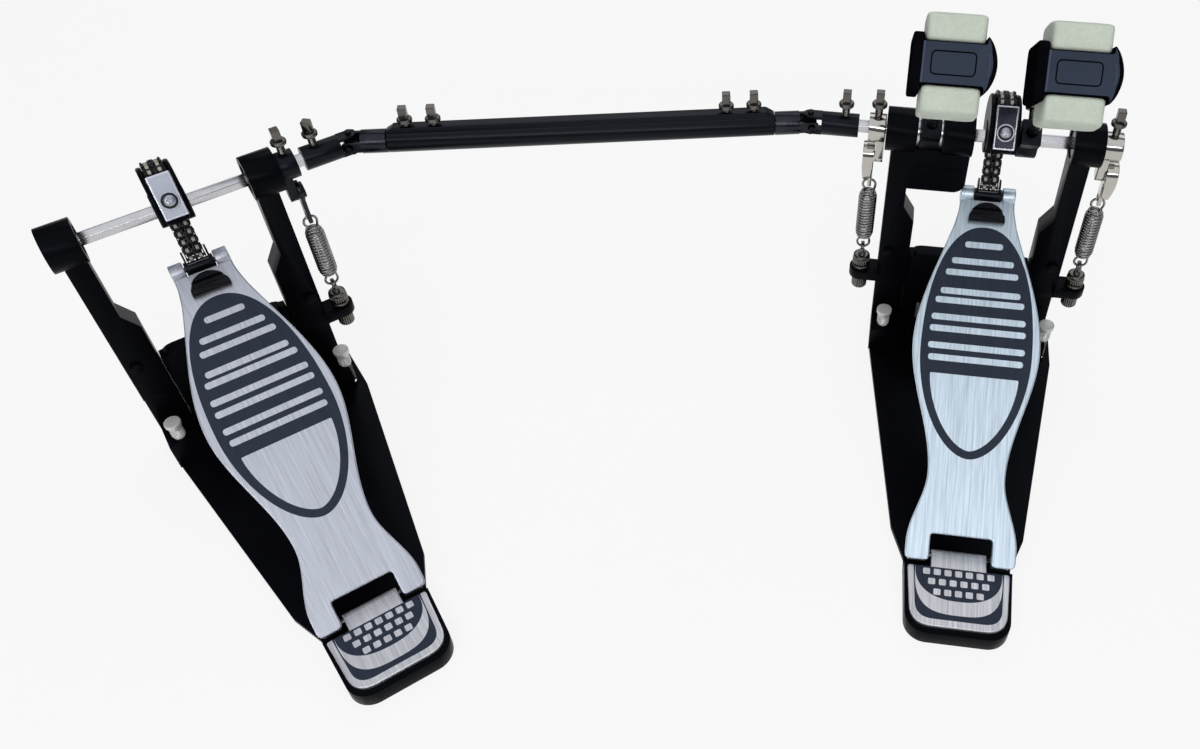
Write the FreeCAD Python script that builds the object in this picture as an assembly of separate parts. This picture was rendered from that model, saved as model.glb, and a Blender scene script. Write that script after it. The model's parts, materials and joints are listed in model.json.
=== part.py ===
import FreeCAD, Part
import math
import os

# Double bass drum pedal: a main pedal with two beaters, a second pedal and the drive shaft between them.
# Frame: X runs along the main pedal's shaft, Y towards the drum, Z up, floor at zero, Y zero near the heel.
# All lengths are in millimetres and all angles in degrees.

os.makedirs("parts", exist_ok=True)

Vec = FreeCAD.Vector
ORIGIN = Vec(0, 0, 0)
RIGHT = Vec(1, 0, 0)
AHEAD = Vec(0, 1, 0)
UP = Vec(0, 0, 1)

# Clearances shared by every piece
cut_over = 2.0
run_clear = 0.05
side_play = 0.6

# Sides of the many-sided bars that stand for small round ones
bar_sides = 8
washer_sides = 12
roller_sides = 6
wire_sides = 4

# Layout of the two pedals and the drive shaft
toe_lead = 2.4508
chain_drop = 56.1505
slave_yaw = 42.0
drive_yaw = 12.0
drive_span = 334.0
main_joint_x = -138.0
slave_joint_x = 127.0

# Hexagonal shafts
hex_flats = 9.0
shaft_split_gap = 2.0
fork_grip = 20.0

# Posts with their bearing housings
frame_mid = -4.5
housing_gap = 111.0
housing_width = 22.0
housing_r = 16.0
post_width = 15.0
post_inset = 2.0
post_flare = 9.0
flare_top_drop = 70.0
flare_low_drop = 85.0
post_lead = 3.0
post_depth = 18.0
post_boss_r = 4.5
post_boss_stand = 3.0
post_boss_z = 97.0
post_edge = 2.0
step_z = 63.0
step_depth = 5.0

# Yoke of the main pedal, which carries the second beater's hub between two bearing cylinders
yoke_slot = 19.0
yoke_web_drop = 52.0
yoke_web_corner = 9.0
yoke_hub_room = 2.0

# Bearings
bearing_r = 11.0
bearing_recess = 1.0

# Lugs, eye bolts and knurled nuts that set the spring tension
lug_top_z = 77.0
lug_thick = 8.0
lug_r = 9.0
eye_z = 97.0
eye_hole_r = 2.6
eye_ring_r = 5.0
eye_thick = 3.0
eye_stem_r = 3.0
cup_r = 7.0
cup_height = 13.0
nut_r = 6.0
nut_height = 13.0
stem_end_stick = 2.0

# Base plate with its heel pad, feet and the block of the hoop clamp
base_thick = 4.0
base_half = 76.0
base_lead = 23.0
base_tail = 19.0
base_waist_half = 48.7
base_waist_y = 40.5
pad_half = 38.5
pad_front_y = 5.0
pad_end_y = -50.0
pad_taper = 2.5
pad_corner = 16.0
pad_height = 13.0
foot_lead = 21.0
foot_height = 24.0

# Clamp block, jaw and wing screw of the hoop clamp
block_tail = 3.0
block_thick = 11.0
block_top_z = 101.0
block_gap = 4.0
block_corner = 8.0
upper_jaw_z = 36.0
upper_jaw_thick = 8.0
upper_jaw_reach = 32.0
jaw_lip_half = 26.0
jaw_z = 12.0
jaw_thick = 6.0
jaw_tail_width = 13.0
jaw_tail_reach = 20.0
jaw_slot_room = 4.0
jaw_pivot_r = 2.5
jaw_pivot_out = 5.0
jaw_ear_width = 4.0
jaw_ear_r = 6.0
wing_stud_r = 3.0
wing_stud_top = 49.0
wing_reach = 9.0
wing_height = 13.0
wing_thick = 3.5
wing_collar_r = 5.0
wing_room = 1.2

# Spur screws in the feet
spur_x = 67.0
spur_lead = 12.0
spur_r = 4.0
spur_top_z = 41.0
spur_head_r = 6.2
spur_head_thick = 3.0
spur_tip = 5.0

# Heel plate and heel hinge
hinge_y = 13.5
hinge_z = 12.0
knuckle_r = 4.4
hinge_pin_r = 2.2
heel_half = 36.0
heel_taper = 3.0
heel_front_y = 1.5
heel_end_y = -45.5
heel_corner = 14.0
heel_tab_half = 19.6

# Footboard, measured from the heel hinge along the board and square to it
board_angle = 30.0
board_top = 13.7
board_thick = 5.0
board_half = 46.5
board_reach = 274.3
board_toe_half = 20.5
board_ear_end = -4.5
board_ear_half = 39.0
board_ear_corner = 5.0
board_shoulder = 8.0
board_waist_half = 27.6
board_waist_share = 0.21254
board_wide_share = 0.56507
board_neck_half = 23.5
board_neck_back = 26.3
board_neck_angle = 17.0
toe_shoulder_back = 12.3
notch_half = 22.0
notch_end = 14.9
notch_corner = 3.0
lug_half_in = 23.5
lug_half_out = 36.0
ear_lug_r = 4.6
toe_roll_r = 6.5
toe_pin_drop = 2.5
toe_pin_r = 2.0
toe_slot_half = 10.8
toe_slot_run = 9.0
rib_half = 14.0
rib_width = 4.0
rib_height = 6.0
rib_from = 40.0
rib_back = 34.3

# Toe stop
stop_half = 13.5
stop_back = 23.8
stop_run = 15.5
stop_height = 5.0
stop_groove = 3.0
stop_groove_depth = 1.6
stop_groove_share = 0.42

# Roller chain and cam
chain_pitch = 6.35
cam_pitches = 24
wrap_links = 10
run_links = 8
plate_half_height = 2.7
plate_thick = 0.8
plate_space = 0.15
strand_offset = 3.4
roller_width = 3.2
roller_r = 1.75
chain_pin_r = 1.15
pin_stub = 0.3
cam_flange_r = 27.0
cam_flange_thick = 4.2
cam_hub_r = 12.0
cam_cut_drop = 5.0
cam_cut_angle = 17.0
clip_barrel_r = 5.0
clip_plate_thick = 1.3
clip_plate_reach = 13.0
clip_plate_half = 3.2
clip_space = 0.5
clip_slot_room = 0.9

# Chain plate and its screw
plate_lead_angle = 15.15
chain_plate_half = 7.6
chain_plate_up = 14.5
chain_plate_down = 16.0
chain_plate_thick = 2.0
chain_plate_lift = 0.4
plate_screw_share = 0.61
seat_up = 3.0
seat_down = 15.0
seat_half = 7.0
plate_screw_r = 4.4
plate_screw_head = 2.6
plate_washer_r = 6.2
plate_washer_thick = 0.9

# Rockers, stirrups and springs
rocker_r = 10.5
rocker_width = 12.4
rocker_arm_half = 6.0
rocker_arm_thick = 6.0
rocker_reach = 24.0
stud_r = 2.2
stud_head_r = 6.2
stud_head_thick = 1.6
stirrup_thick = 3.0
stirrup_room = 0.4
stirrup_half = 4.5
stirrup_eye_r = 8.0
stirrup_eye_hole_r = 4.5
stirrup_drop = 23.0
spring_r = 5.3
spring_end_r = 3.6
spring_wire = 2.0
spring_turns = 7
spring_taper_turns = 1.5
spring_hook_r = 4.8
spring_neck = 6.0
spring_tail_angle = 50.0
spring_seat_gap = 0.35
spring_check_steps = 24

# Beaters
beater_angle = 41.0
main_beater_x = 19.2
hub_width = 14.0
hub_r = 13.0
hub_top = 23.0
rod_r = 3.6
rod_from = 8.0
head_mid = 165.0
head_height = 46.0
head_slab = 6.5
head_slab_depth = 34.0
head_web_depth = 24.0
head_width = 48.5
head_dome = 7.0
head_dome_depth = 34.0
head_tilt_angle = 10.0
head_edge = 2.5
head_panel_half = 13.0
head_panel_depth_half = 7.0
head_panel_sink = 0.8
rod_depth_in_head = 30.0
felt_depth = 18.0
felt_width = 34.0
felt_height = 42.0
felt_crown = 3.0
felt_edge = 3.0

# Square-headed key bolts
bolt_neck_r = 2.9
bolt_neck = 8.0
bolt_collar_r = 5.6
bolt_collar = 3.4
bolt_square = 6.0
bolt_square_height = 9.0

# Drive shaft
fork_r = 8.6
fork_sleeve = 27.0
fork_end = 5.0
fork_arm_out = 7.8
fork_arm_in = 5.2
fork_arm_half = 4.2
fork_crotch = 8.5
stem_crotch = 8.5
cross_half = 4.0
cross_pin_r = 2.2
cross_pin_reach = 9.8
main_cross_loose = 0.5
slave_cross_loose = 0.95
stem_r = 6.2
stem_in_tube = 95.0
tube_r = 8.6
tube_wall = 2.3
tube_rail_half = 4.0
tube_rail_rise = 4.0
tube_rail_slope = 6.0
tube_start = 27.0
tube_bolt_in = 9.0
tube_bolt_step = 20.0
tube_bolt_neck = 3.0

# Places worked out from the sizes above
board_turn = math.radians(board_angle)
toe_height = board_top - toe_pin_drop
shaft_y = hinge_y + board_reach * math.cos(board_turn) - toe_height * math.sin(board_turn) - toe_lead
shaft_z = hinge_z + board_reach * math.sin(board_turn) + toe_height * math.cos(board_turn) + chain_drop
post_front_y = shaft_y - post_lead
base_front_y = shaft_y + base_tail
base_shoulder_y = shaft_y - base_lead
foot_front_y = shaft_y - foot_lead
block_front_y = shaft_y + block_tail
spur_y = shaft_y - spur_lead
flare_top_z = shaft_z - flare_top_drop
flare_low_z = shaft_z - flare_low_drop
yoke_web_low_z = shaft_z - yoke_web_drop
board_waist_at = board_reach * board_waist_share
board_wide_at = board_reach * board_wide_share
board_neck_at = board_reach - board_neck_back
board_toe_shoulder = board_reach - toe_shoulder_back
rib_to = board_reach - rib_back
stop_from = board_reach - stop_back
left_inner = frame_mid - housing_gap / 2
right_inner = frame_mid + housing_gap / 2
left_outer = left_inner - housing_width
right_outer = right_inner + housing_width
shaft_corner_r = hex_flats / math.sqrt(3)
journal_r = hex_flats / 2
cam_r = chain_pitch / 2 / math.sin(math.pi / cam_pitches)
chain_half = strand_offset + roller_width / 2 + 2 * plate_thick + pin_stub
cam_inner_half = chain_half + plate_space
cam_outer_half = cam_inner_half + cam_flange_thick
hinge = Vec(0, hinge_y, hinge_z)
shaft_mid = Vec(0, shaft_y, shaft_z)
yoke_right_inner = left_inner + yoke_slot
yoke_right_outer = yoke_right_inner + housing_width
second_beater_x = left_inner + yoke_slot / 2
second_shaft_end = yoke_right_inner + housing_width / 2 - shaft_split_gap / 2
main_shaft_start = second_shaft_end + shaft_split_gap
stirrup_offset = side_play + rocker_arm_thick + stirrup_room + stirrup_thick / 2


def box(x0, x1, y0, y1, z0, z1):
    return Part.makeBox(x1 - x0, y1 - y0, z1 - z0, Vec(x0, y0, z0))


def round_bar(start, direction, radius, length):
    return Part.makeCylinder(radius, length, start, direction)


def cross_bar(x0, x1, y, z, radius):
    return round_bar(Vec(x0, y, z), RIGHT, radius, x1 - x0)


def prism(points, sweep):
    return Part.Face(Part.makePolygon(points + points[:1])).extrude(sweep)


def fuse(first, *others):
    return first.multiFuse(list(others)).removeSplitter()


def ring_points(radius, sides, turn):
    """Corners of a regular outline as pairs."""
    angles = [math.radians(turn + 360 * k / sides) for k in range(sides)]
    return [(radius * math.cos(a), radius * math.sin(a)) for a in angles]


def sided_bar(start, direction, radius, length, sides=bar_sides):
    """Straight bar with a flat-sided section, for small fasteners and hidden holes."""
    frame = FreeCAD.Rotation(UP, direction)
    corners = [start + frame.multVec(Vec(a, b, 0)) for a, b in ring_points(radius, sides, 180 / sides)]
    return prism(corners, direction * length)


def sided_hole(start, direction, radius, length, sides=bar_sides):
    return sided_bar(start, direction, radius / math.cos(math.pi / sides), length, sides)


def turned(shape, centre, axis, angle):
    shape = shape.copy()
    shape.rotate(centre, axis, angle)
    return shape


def moved(shape, shift):
    shape = shape.copy()
    shape.translate(shift)
    return shape


def lean_back(shape):
    return turned(shape, shaft_mid, RIGHT, beater_angle)


def lay_board(shape):
    return moved(turned(shape, ORIGIN, RIGHT, board_angle), hinge)


def board_point(along, height):
    return lay_board(Part.Vertex(0, along, height)).Point


def hex_bar(x0, x1, flats):
    corners = [Vec(x0, shaft_y + y, shaft_z + z) for y, z in ring_points(flats / math.sqrt(3), 6, 90)]
    return prism(corners, RIGHT * (x1 - x0))


def key_bolt(seat, direction, neck=bolt_neck):
    """Square-headed bolt that stands on its seat: a neck, a collar and the square."""
    foot_point = seat + direction * run_clear
    neck_top = seat + direction * neck
    side = bolt_square / 2
    square = box(-side, side, -side, side, 0, bolt_collar + bolt_square_height)
    square.Placement = FreeCAD.Placement(neck_top, FreeCAD.Rotation(UP, direction))
    return fuse(sided_bar(foot_point, direction, bolt_neck_r, neck),
                sided_bar(neck_top, direction, bolt_collar_r, bolt_collar), square)


# Base plate


def base_outline():
    """Plate outline on the floor, wide under the posts and drawn in towards the heel."""
    half = [(base_half, base_front_y), (base_half, base_shoulder_y), (base_waist_half, base_waist_y),
            (pad_half, hinge_y), (pad_half, pad_front_y - cut_over)]
    right = [Vec(x, y, 0) for x, y in half]
    left = [Vec(-x, y, 0) for x, y in reversed(half)]
    return right + left


def rounded_heel(front_half, end_half, front_y, end_y, corner, z, height):
    """Heel shape: straight tapering sides and a rounded end."""
    points = [Vec(-front_half, front_y, z), Vec(front_half, front_y, z),
              Vec(end_half, end_y, z), Vec(-end_half, end_y, z)]
    solid = prism(points, UP * height)
    ends = [e for e in solid.Edges if abs(e.Vertexes[0].Y - end_y) < run_clear
            and abs(e.Vertexes[-1].Y - end_y) < run_clear
            and abs(e.Vertexes[0].Z - e.Vertexes[-1].Z) > run_clear]
    return solid.makeFillet(corner, ends)


def foot(side):
    inner, outer = post_span(side)
    low, high = sorted((inner - side * post_flare, outer))
    return box(low, high, foot_front_y, post_front_y + post_depth, 0, foot_height)


def post_span(side):
    """Inner and outer X of a post's upper part."""
    inner = (left_inner - post_inset) if side < 0 else (right_inner + post_inset)
    return inner, inner + side * post_width


def block_span():
    """Left and right X of the clamp block, which stands free between the posts."""
    return post_span(-1)[0] + post_flare + block_gap, post_span(1)[0] - post_flare - block_gap


def jaw_axis():
    return block_front_y + block_thick + jaw_pivot_out + jaw_pivot_r, jaw_z + jaw_thick / 2


def jaw_span():
    left, right = block_span()
    return left + jaw_slot_room, right - jaw_slot_room


def clamp_block(with_jaw):
    left, right = block_span()
    back_y = block_front_y + block_thick
    solid = box(left, right, block_front_y, back_y, 0, block_top_z)
    top = [e for e in solid.Edges if abs(e.Vertexes[0].Z - block_top_z) < run_clear
           and abs(e.Vertexes[-1].Z - block_top_z) < run_clear
           and abs(e.Vertexes[0].Y - e.Vertexes[-1].Y) > run_clear]
    solid = solid.makeFillet(block_corner, top)
    if not with_jaw:
        return solid
    mid = (left + right) / 2
    jaw_y, jaw_axis_z = jaw_axis()
    jaw_left, jaw_right = jaw_span()
    ledge = box(mid - jaw_lip_half, mid + jaw_lip_half, back_y - base_thick, back_y + upper_jaw_reach,
                upper_jaw_z, upper_jaw_z + upper_jaw_thick)
    ears = []
    for inner, side in ((jaw_left - side_play, -1), (jaw_right + side_play, 1)):
        low, high = sorted((inner, inner + side * jaw_ear_width))
        ears.append(cross_bar(low, high, jaw_y, jaw_axis_z, jaw_ear_r))
        ears.append(box(low, high, back_y - base_thick, jaw_y, 0, jaw_axis_z + jaw_ear_r))
    solid = fuse(solid, ledge, *ears)
    slot = box(jaw_left - side_play, jaw_left + jaw_tail_width + jaw_slot_room, block_front_y - cut_over,
               back_y + cut_over, base_thick, jaw_z + jaw_thick + jaw_slot_room)
    bore = cross_bar(left - cut_over, right + cut_over, jaw_y, jaw_axis_z, jaw_pivot_r + run_clear)
    return solid.cut(slot).cut(bore)


def base(with_jaw):
    plate = prism(base_outline(), UP * base_thick)
    pad = rounded_heel(pad_half, pad_half - pad_taper, pad_front_y, pad_end_y, pad_corner, 0, pad_height)
    solid = fuse(plate, pad, foot(-1), foot(1), clamp_block(with_jaw))
    for side in (-1, 1):
        tip = Vec(side * spur_x, spur_y, -cut_over)
        solid = solid.cut(sided_hole(tip, UP, spur_r + run_clear, foot_height + 2 * cut_over))
    return solid


def spur(side):
    """Pointed spur screw with a flat round head, its tip just above the floor."""
    foot_point = Vec(side * spur_x, spur_y, run_clear)
    stem_start = foot_point + UP * spur_tip
    stem_end = UP * (spur_top_z - spur_head_thick) + Vec(foot_point.x, foot_point.y, 0)
    stem = sided_bar(stem_start, UP, spur_r, stem_end.z - stem_start.z)
    rims = []
    for centre, radius in ((foot_point, spur_r / 4), (stem_start, spur_r)):
        corners = [centre + Vec(a, b, 0) for a, b in ring_points(radius, bar_sides, 180 / bar_sides)]
        rims.append(Part.makePolygon(corners + corners[:1]))
    tip = Part.makeLoft(rims, True, True)
    head = sided_bar(stem_end, UP, spur_head_r, spur_head_thick, washer_sides)
    return fuse(stem, tip, head)


def wing_foot():
    return Vec(jaw_span()[0] + jaw_tail_width / 2, block_front_y - jaw_tail_reach / 2, base_thick + run_clear)


def wing_screw():
    """Stud that stands on the base plate, with a collar and two wings above the jaw's tail."""
    start = wing_foot()
    collar_z = jaw_z + jaw_thick + side_play - start.z
    stud = sided_bar(start, UP, wing_stud_r, wing_stud_top - start.z)
    collar = sided_bar(start + UP * collar_z, UP, wing_collar_r, wing_height)
    outline = [(-wing_reach, wing_height / 4), (-wing_reach, wing_height),
               (-wing_collar_r / 2, wing_height / 2), (wing_collar_r / 2, wing_height / 2),
               (wing_reach, wing_height), (wing_reach, wing_height / 4), (0, 0)]
    wings = [start + Vec(x, -wing_thick / 2, collar_z + z) for x, z in outline]
    return fuse(stud, collar, prism(wings, AHEAD * wing_thick))


def hoop_jaw():
    """Lower jaw of the hoop clamp: a lip on the drum side and a forked tail under the wing screw."""
    left, right = jaw_span()
    mid = (left + right) / 2
    back_y = block_front_y + block_thick
    pivot_y, pivot_z = jaw_axis()
    top_z = jaw_z + jaw_thick
    bar = box(left, right, back_y + jaw_pivot_out / 2, pivot_y + jaw_pivot_out, jaw_z, top_z)
    lip = box(mid - jaw_lip_half, mid + jaw_lip_half, pivot_y, back_y + upper_jaw_reach, jaw_z, top_z)
    tail = box(left, left + jaw_tail_width, block_front_y - jaw_tail_reach, pivot_y, jaw_z, top_z)
    pins = cross_bar(left - jaw_ear_width, right + jaw_ear_width, pivot_y, pivot_z, jaw_pivot_r)
    start = wing_foot()
    slot_r = wing_stud_r + wing_room
    slot = box(start.x - slot_r, start.x + slot_r, block_front_y - jaw_tail_reach - cut_over,
               start.y + slot_r, 0, wing_stud_top)
    return fuse(bar, lip, tail, pins).cut(slot)


# Posts and bearings


def post_profile(side, top_z):
    """Front outline of a post: slim below the housing, wider from the flare down to the base."""
    inner, outer = post_span(side)
    wide = inner - side * post_flare
    corners = [(outer, foot_height), (outer, top_z), (inner, top_z), (inner, flare_top_z),
               (wide, flare_low_z), (wide, foot_height)]
    return [Vec(x, post_front_y, z) for x, z in corners]


def spring_lug(side):
    """Flat lug beside the post with the eye bolt's hole."""
    x = spring_x(side)
    outer = post_span(side)[1]
    low_z = lug_top_z - lug_thick
    arm = box(min(outer - side * post_edge, x), max(outer - side * post_edge, x),
              shaft_y - lug_r, shaft_y + lug_r, low_z, lug_top_z)
    end = round_bar(Vec(x, shaft_y, low_z), UP, lug_r, lug_thick)
    hole = sided_hole(Vec(x, shaft_y, low_z - cut_over), UP, eye_stem_r + run_clear, lug_thick + 2 * cut_over)
    return fuse(arm, end), hole


def spring_x(side):
    return (left_outer if side < 0 else right_outer) + side * stirrup_offset


def housing_places(side, role):
    """X of the left face of each bearing housing on a post."""
    if side > 0:
        return [right_inner]
    if role == "slave":
        return [left_outer]
    return [left_outer, yoke_right_inner]


def post(side, role, lug):
    """Post with its bearing housing; the main pedal's left post also carries the yoke."""
    inner, outer = post_span(side)
    shank = prism(post_profile(side, shaft_z), AHEAD * post_depth)
    places = housing_places(side, role)
    pieces = [cross_bar(x, x + housing_width, shaft_y, shaft_z, housing_r) for x in places]
    pieces.append(sided_bar(Vec((inner + outer) / 2, post_front_y - post_boss_stand, post_boss_z), AHEAD,
                            post_boss_r, post_boss_stand + post_edge))
    if len(places) > 1:
        pieces.append(yoke_web())
    solid = fuse(shank, *pieces)
    if len(places) > 1:
        solid = solid.cut(cross_bar(left_inner, yoke_right_inner, shaft_y, shaft_z, hub_r + yoke_hub_room))
    low, high = sorted((inner - side * post_flare, outer))
    step = box(low - cut_over, high + cut_over, post_front_y - cut_over, post_front_y + step_depth,
               foot_height - cut_over, step_z)
    solid = solid.cut(step)
    if lug:
        tongue, hole = spring_lug(side)
        solid = fuse(solid, tongue).cut(hole)
    bore_end = places[-1] + housing_width + cut_over
    return solid.cut(cross_bar(places[0] - cut_over, bore_end, shaft_y, shaft_z, bearing_r + run_clear))


def yoke_web():
    """Web under the yoke's two cylinders, with a rounded lower corner."""
    left = post_span(-1)[0] - post_edge
    web = box(left, yoke_right_outer, post_front_y, post_front_y + post_depth, yoke_web_low_z, shaft_z)
    corner = [e for e in web.Edges if abs(e.Vertexes[0].Z - yoke_web_low_z) < run_clear
              and abs(e.Vertexes[-1].Z - yoke_web_low_z) < run_clear
              and abs(e.Vertexes[0].X - yoke_right_outer) < run_clear
              and abs(e.Vertexes[-1].X - yoke_right_outer) < run_clear]
    return web.makeFillet(yoke_web_corner, corner)


def bearing(x):
    low, high = x + bearing_recess, x + housing_width - bearing_recess
    bore = cross_bar(low - cut_over, high + cut_over, shaft_y, shaft_z, journal_r + run_clear)
    return cross_bar(low, high, shaft_y, shaft_z, bearing_r).cut(bore)


def turned_shaft(x0, x1, places):
    """Hexagonal bar whose stretches inside the bearing housings are turned round."""
    solid = hex_bar(x0, x1, hex_flats)
    for x in places:
        low = max(x0, x - side_play)
        high = min(x1, x + housing_width + side_play)
        ring = cross_bar(low, high, shaft_y, shaft_z, shaft_corner_r + cut_over)
        core = cross_bar(low, high, shaft_y, shaft_z, journal_r)
        solid = solid.cut(ring.cut(core))
    return solid


def hex_hole(x0, x1):
    return hex_bar(x0, x1, hex_flats + 2 * run_clear)


# Spring adjusters


def adjuster(side):
    """Eye bolt through the lug with a round cup above and a knurled nut below."""
    x = spring_x(side)
    nut_z = lug_top_z - lug_thick - nut_height - run_clear
    low_z = nut_z - stem_end_stick
    ring = sided_bar(Vec(x - eye_thick / 2, shaft_y, eye_z), RIGHT, eye_ring_r, eye_thick, washer_sides)
    stem = sided_bar(Vec(x, shaft_y, low_z), UP, eye_stem_r, eye_z - eye_hole_r - low_z)
    cup = sided_bar(Vec(x, shaft_y, lug_top_z + run_clear), UP, cup_r, cup_height)
    nut = sided_bar(Vec(x, shaft_y, nut_z), UP, nut_r, nut_height)
    hole = cross_bar(x - eye_ring_r, x + eye_ring_r, shaft_y, eye_z, eye_hole_r)
    return fuse(ring, stem, cup, nut).cut(hole)


# Heel plate and footboard


def heel_plate():
    thick = hinge_z + knuckle_r - pad_height
    plate = rounded_heel(heel_half, heel_half - heel_taper, heel_front_y, heel_end_y, heel_corner,
                         pad_height, thick)
    tab = box(-heel_tab_half, heel_tab_half, heel_front_y - cut_over, hinge_y, pad_height, pad_height + thick)
    knuckle = cross_bar(-heel_tab_half, heel_tab_half, hinge_y, hinge_z, knuckle_r)
    bore = cross_bar(-heel_half, heel_half, hinge_y, hinge_z, hinge_pin_r + run_clear)
    return fuse(plate, tab, knuckle).cut(bore)


def board_side(side):
    """Curved side of the board from the ear to the toe, through the waist, the widest place and the neck."""
    stations = [(board_ear_half, board_shoulder, 0), (board_waist_half, board_waist_at, 0),
                (board_half, board_wide_at, 0), (board_neck_half, board_neck_at, board_neck_angle)]
    places = [Vec(side * x, y, 0) for x, y, lean in stations]
    ways = [turned(Part.Vertex(0, 1, 0), ORIGIN, UP, side * lean).Point for x, y, lean in stations]
    edges = []
    for k in range(len(places) - 1):
        edges += biarc(places[k], ways[k], places[k + 1], ways[k + 1])
    return edges + [Part.makeLine(places[-1], Vec(side * board_toe_half, board_toe_shoulder, 0))]


def board_blank():
    """Flat plate in the board's own frame, with the notch for the heel tab and the toe slot."""
    right = board_side(1)
    left = board_side(-1)
    toe_right = Vec(board_toe_half, board_reach, 0)
    toe_left = Vec(-board_toe_half, board_reach, 0)
    ear_right = Vec(board_ear_half, board_ear_end, 0)
    ear_left = Vec(-board_ear_half, board_ear_end, 0)
    edges = right + left + [
        Part.makeLine(Vec(board_toe_half, board_toe_shoulder, 0), toe_right),
        Part.makeLine(toe_right, toe_left),
        Part.makeLine(toe_left, Vec(-board_toe_half, board_toe_shoulder, 0)),
        Part.makeLine(Vec(-board_ear_half, board_shoulder, 0), ear_left),
        Part.makeLine(ear_left, ear_right),
        Part.makeLine(ear_right, Vec(board_ear_half, board_shoulder, 0))]
    wire = Part.Wire(Part.__sortEdges__(edges))
    plate = moved(Part.Face(wire).extrude(UP * board_thick), UP * (board_top - board_thick))
    notch = box(-notch_half, notch_half, board_ear_end - cut_over, notch_end, 0, board_top + cut_over)
    notch_edges = [e for e in notch.Edges if abs(e.Vertexes[0].Y - notch_end) < run_clear
                   and abs(e.Vertexes[0].Z - e.Vertexes[-1].Z) > run_clear]
    notch = notch.makeFillet(notch_corner, notch_edges)
    slot = box(-toe_slot_half, toe_slot_half, board_reach - toe_slot_run, board_reach + toe_roll_r + cut_over,
               0, board_top + toe_roll_r)
    plate = plate.cut(notch)
    corners = [e for e in plate.Edges if abs(e.Vertexes[0].Y - board_ear_end) < run_clear
               and abs(e.Vertexes[0].Z - e.Vertexes[-1].Z) > run_clear
               and abs(e.Vertexes[-1].Y - board_ear_end) < run_clear]
    return plate.makeFillet(board_ear_corner, corners).cut(slot)


def footboard():
    """Board with its hinge lugs, rolled toe ears, ribs, heel pin and toe pin."""
    under = board_top - board_thick
    heel_end = lug_half_out - cut_over
    toe_end = board_toe_half - cut_over
    pieces = [cross_bar(-heel_end, heel_end, 0, 0, hinge_pin_r),
              cross_bar(-toe_end, toe_end, board_reach, toe_height, toe_pin_r)]
    for side in (-1, 1):
        low, high = sorted((side * lug_half_in, side * lug_half_out))
        pieces.append(sided_bar(Vec(low, 0, 0), RIGHT, ear_lug_r, high - low))
        pieces.append(box(low, high, -ear_lug_r / 2, ear_lug_r, 0, under))
        low, high = sorted((side * toe_slot_half, side * board_toe_half))
        pieces.append(cross_bar(low, high, board_reach, toe_height, toe_roll_r))
        low, high = sorted((side * rib_half, side * (rib_half + rib_width)))
        pieces.append(box(low, high, rib_from, rib_to, under - rib_height, under))
    return lay_board(fuse(board_blank(), *pieces))


def toe_stop():
    """Rubber stop on the board: a half round block with two ridges and a groove between them."""
    start = Vec(stop_half, stop_from, board_top)
    end = Vec(-stop_half, stop_from, board_top)
    crown = Vec(0, stop_from + stop_run, board_top)
    outline = Part.Wire([Part.Arc(start, crown, end).toShape(), Part.makeLine(end, start)])
    solid = Part.Face(outline).extrude(UP * stop_height)
    groove_y = stop_from + stop_run * stop_groove_share
    groove = box(-stop_half, stop_half, groove_y, groove_y + stop_groove,
                 board_top + stop_height - stop_groove_depth, board_top + stop_height + cut_over)
    return lay_board(solid.cut(groove))


# Chain


def toe_point():
    return board_point(board_reach, toe_height)


def tangent_angle():
    """Angle about the shaft at which the chain leaves the cam on the drum side."""
    drop = toe_point() - shaft_mid
    away = math.hypot(drop.y, drop.z)
    return math.degrees(math.atan2(drop.z, drop.y) + math.acos(cam_r / away))


def cam_point(angle, radius):
    turn = math.radians(angle)
    return Vec(0, shaft_y + radius * math.cos(turn), shaft_z + radius * math.sin(turn))


def lobe_shift():
    """Way from the shaft to the centre of the cam's lobe: one link on along the chain's straight run."""
    turn = math.radians(tangent_angle())
    return Vec(0, -math.sin(turn), math.cos(turn)) * chain_pitch


def link_plate(start, end, x, thick):
    """One chain plate: a long hexagon round two pins."""
    along = (end - start).normalize()
    across = RIGHT.cross(along)
    reach = plate_half_height
    bevel = reach / 3
    length = (end - start).Length
    corners = [(-reach, 0), (-bevel, reach), (length + bevel, reach),
               (length + reach, 0), (length + bevel, -reach), (-bevel, -reach)]
    left = x - thick / 2
    return prism([start + along * a + across * b + RIGHT * left for a, b in corners], RIGHT * thick)


def chain_link(start, end, outer, space):
    """Plates of one link of the double chain, inner plates beside the rollers or outer plates beyond them."""
    near = strand_offset - roller_width / 2 - plate_thick / 2
    far = strand_offset + roller_width / 2 + plate_thick / 2
    if outer:
        thick = plate_thick - space
        beyond = far + plate_thick + space / 2
        return [link_plate(start, end, 0, 2 * near - plate_thick - 2 * space),
                link_plate(start, end, beyond, thick), link_plate(start, end, -beyond, thick)]
    return [link_plate(start, end, side * x, plate_thick) for side in (-1, 1) for x in (near, far)]


def rollers(point):
    return [sided_bar(Vec(side * strand_offset - roller_width / 2, point.y, point.z), RIGHT, roller_r,
                      roller_width, roller_sides) for side in (-1, 1)]


def chain_wrap():
    """Chain on the cam: one straight link up from the tangent pin, then round the lobe to the plate."""
    step = 360 / cam_pitches
    points = [cam_point(tangent_angle(), cam_r)]
    points += [cam_point(tangent_angle() + k * step, cam_r) + lobe_shift() for k in range(wrap_links + 1)]
    pieces = [cross_bar(-chain_half, chain_half, points[0].y, points[0].z, chain_pin_r)]
    for k, point in enumerate(points):
        pieces += rollers(point)
        if k:
            pieces += chain_link(points[k - 1], point, k % 2 == 0, 0)
    return fuse(*pieces)


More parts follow.
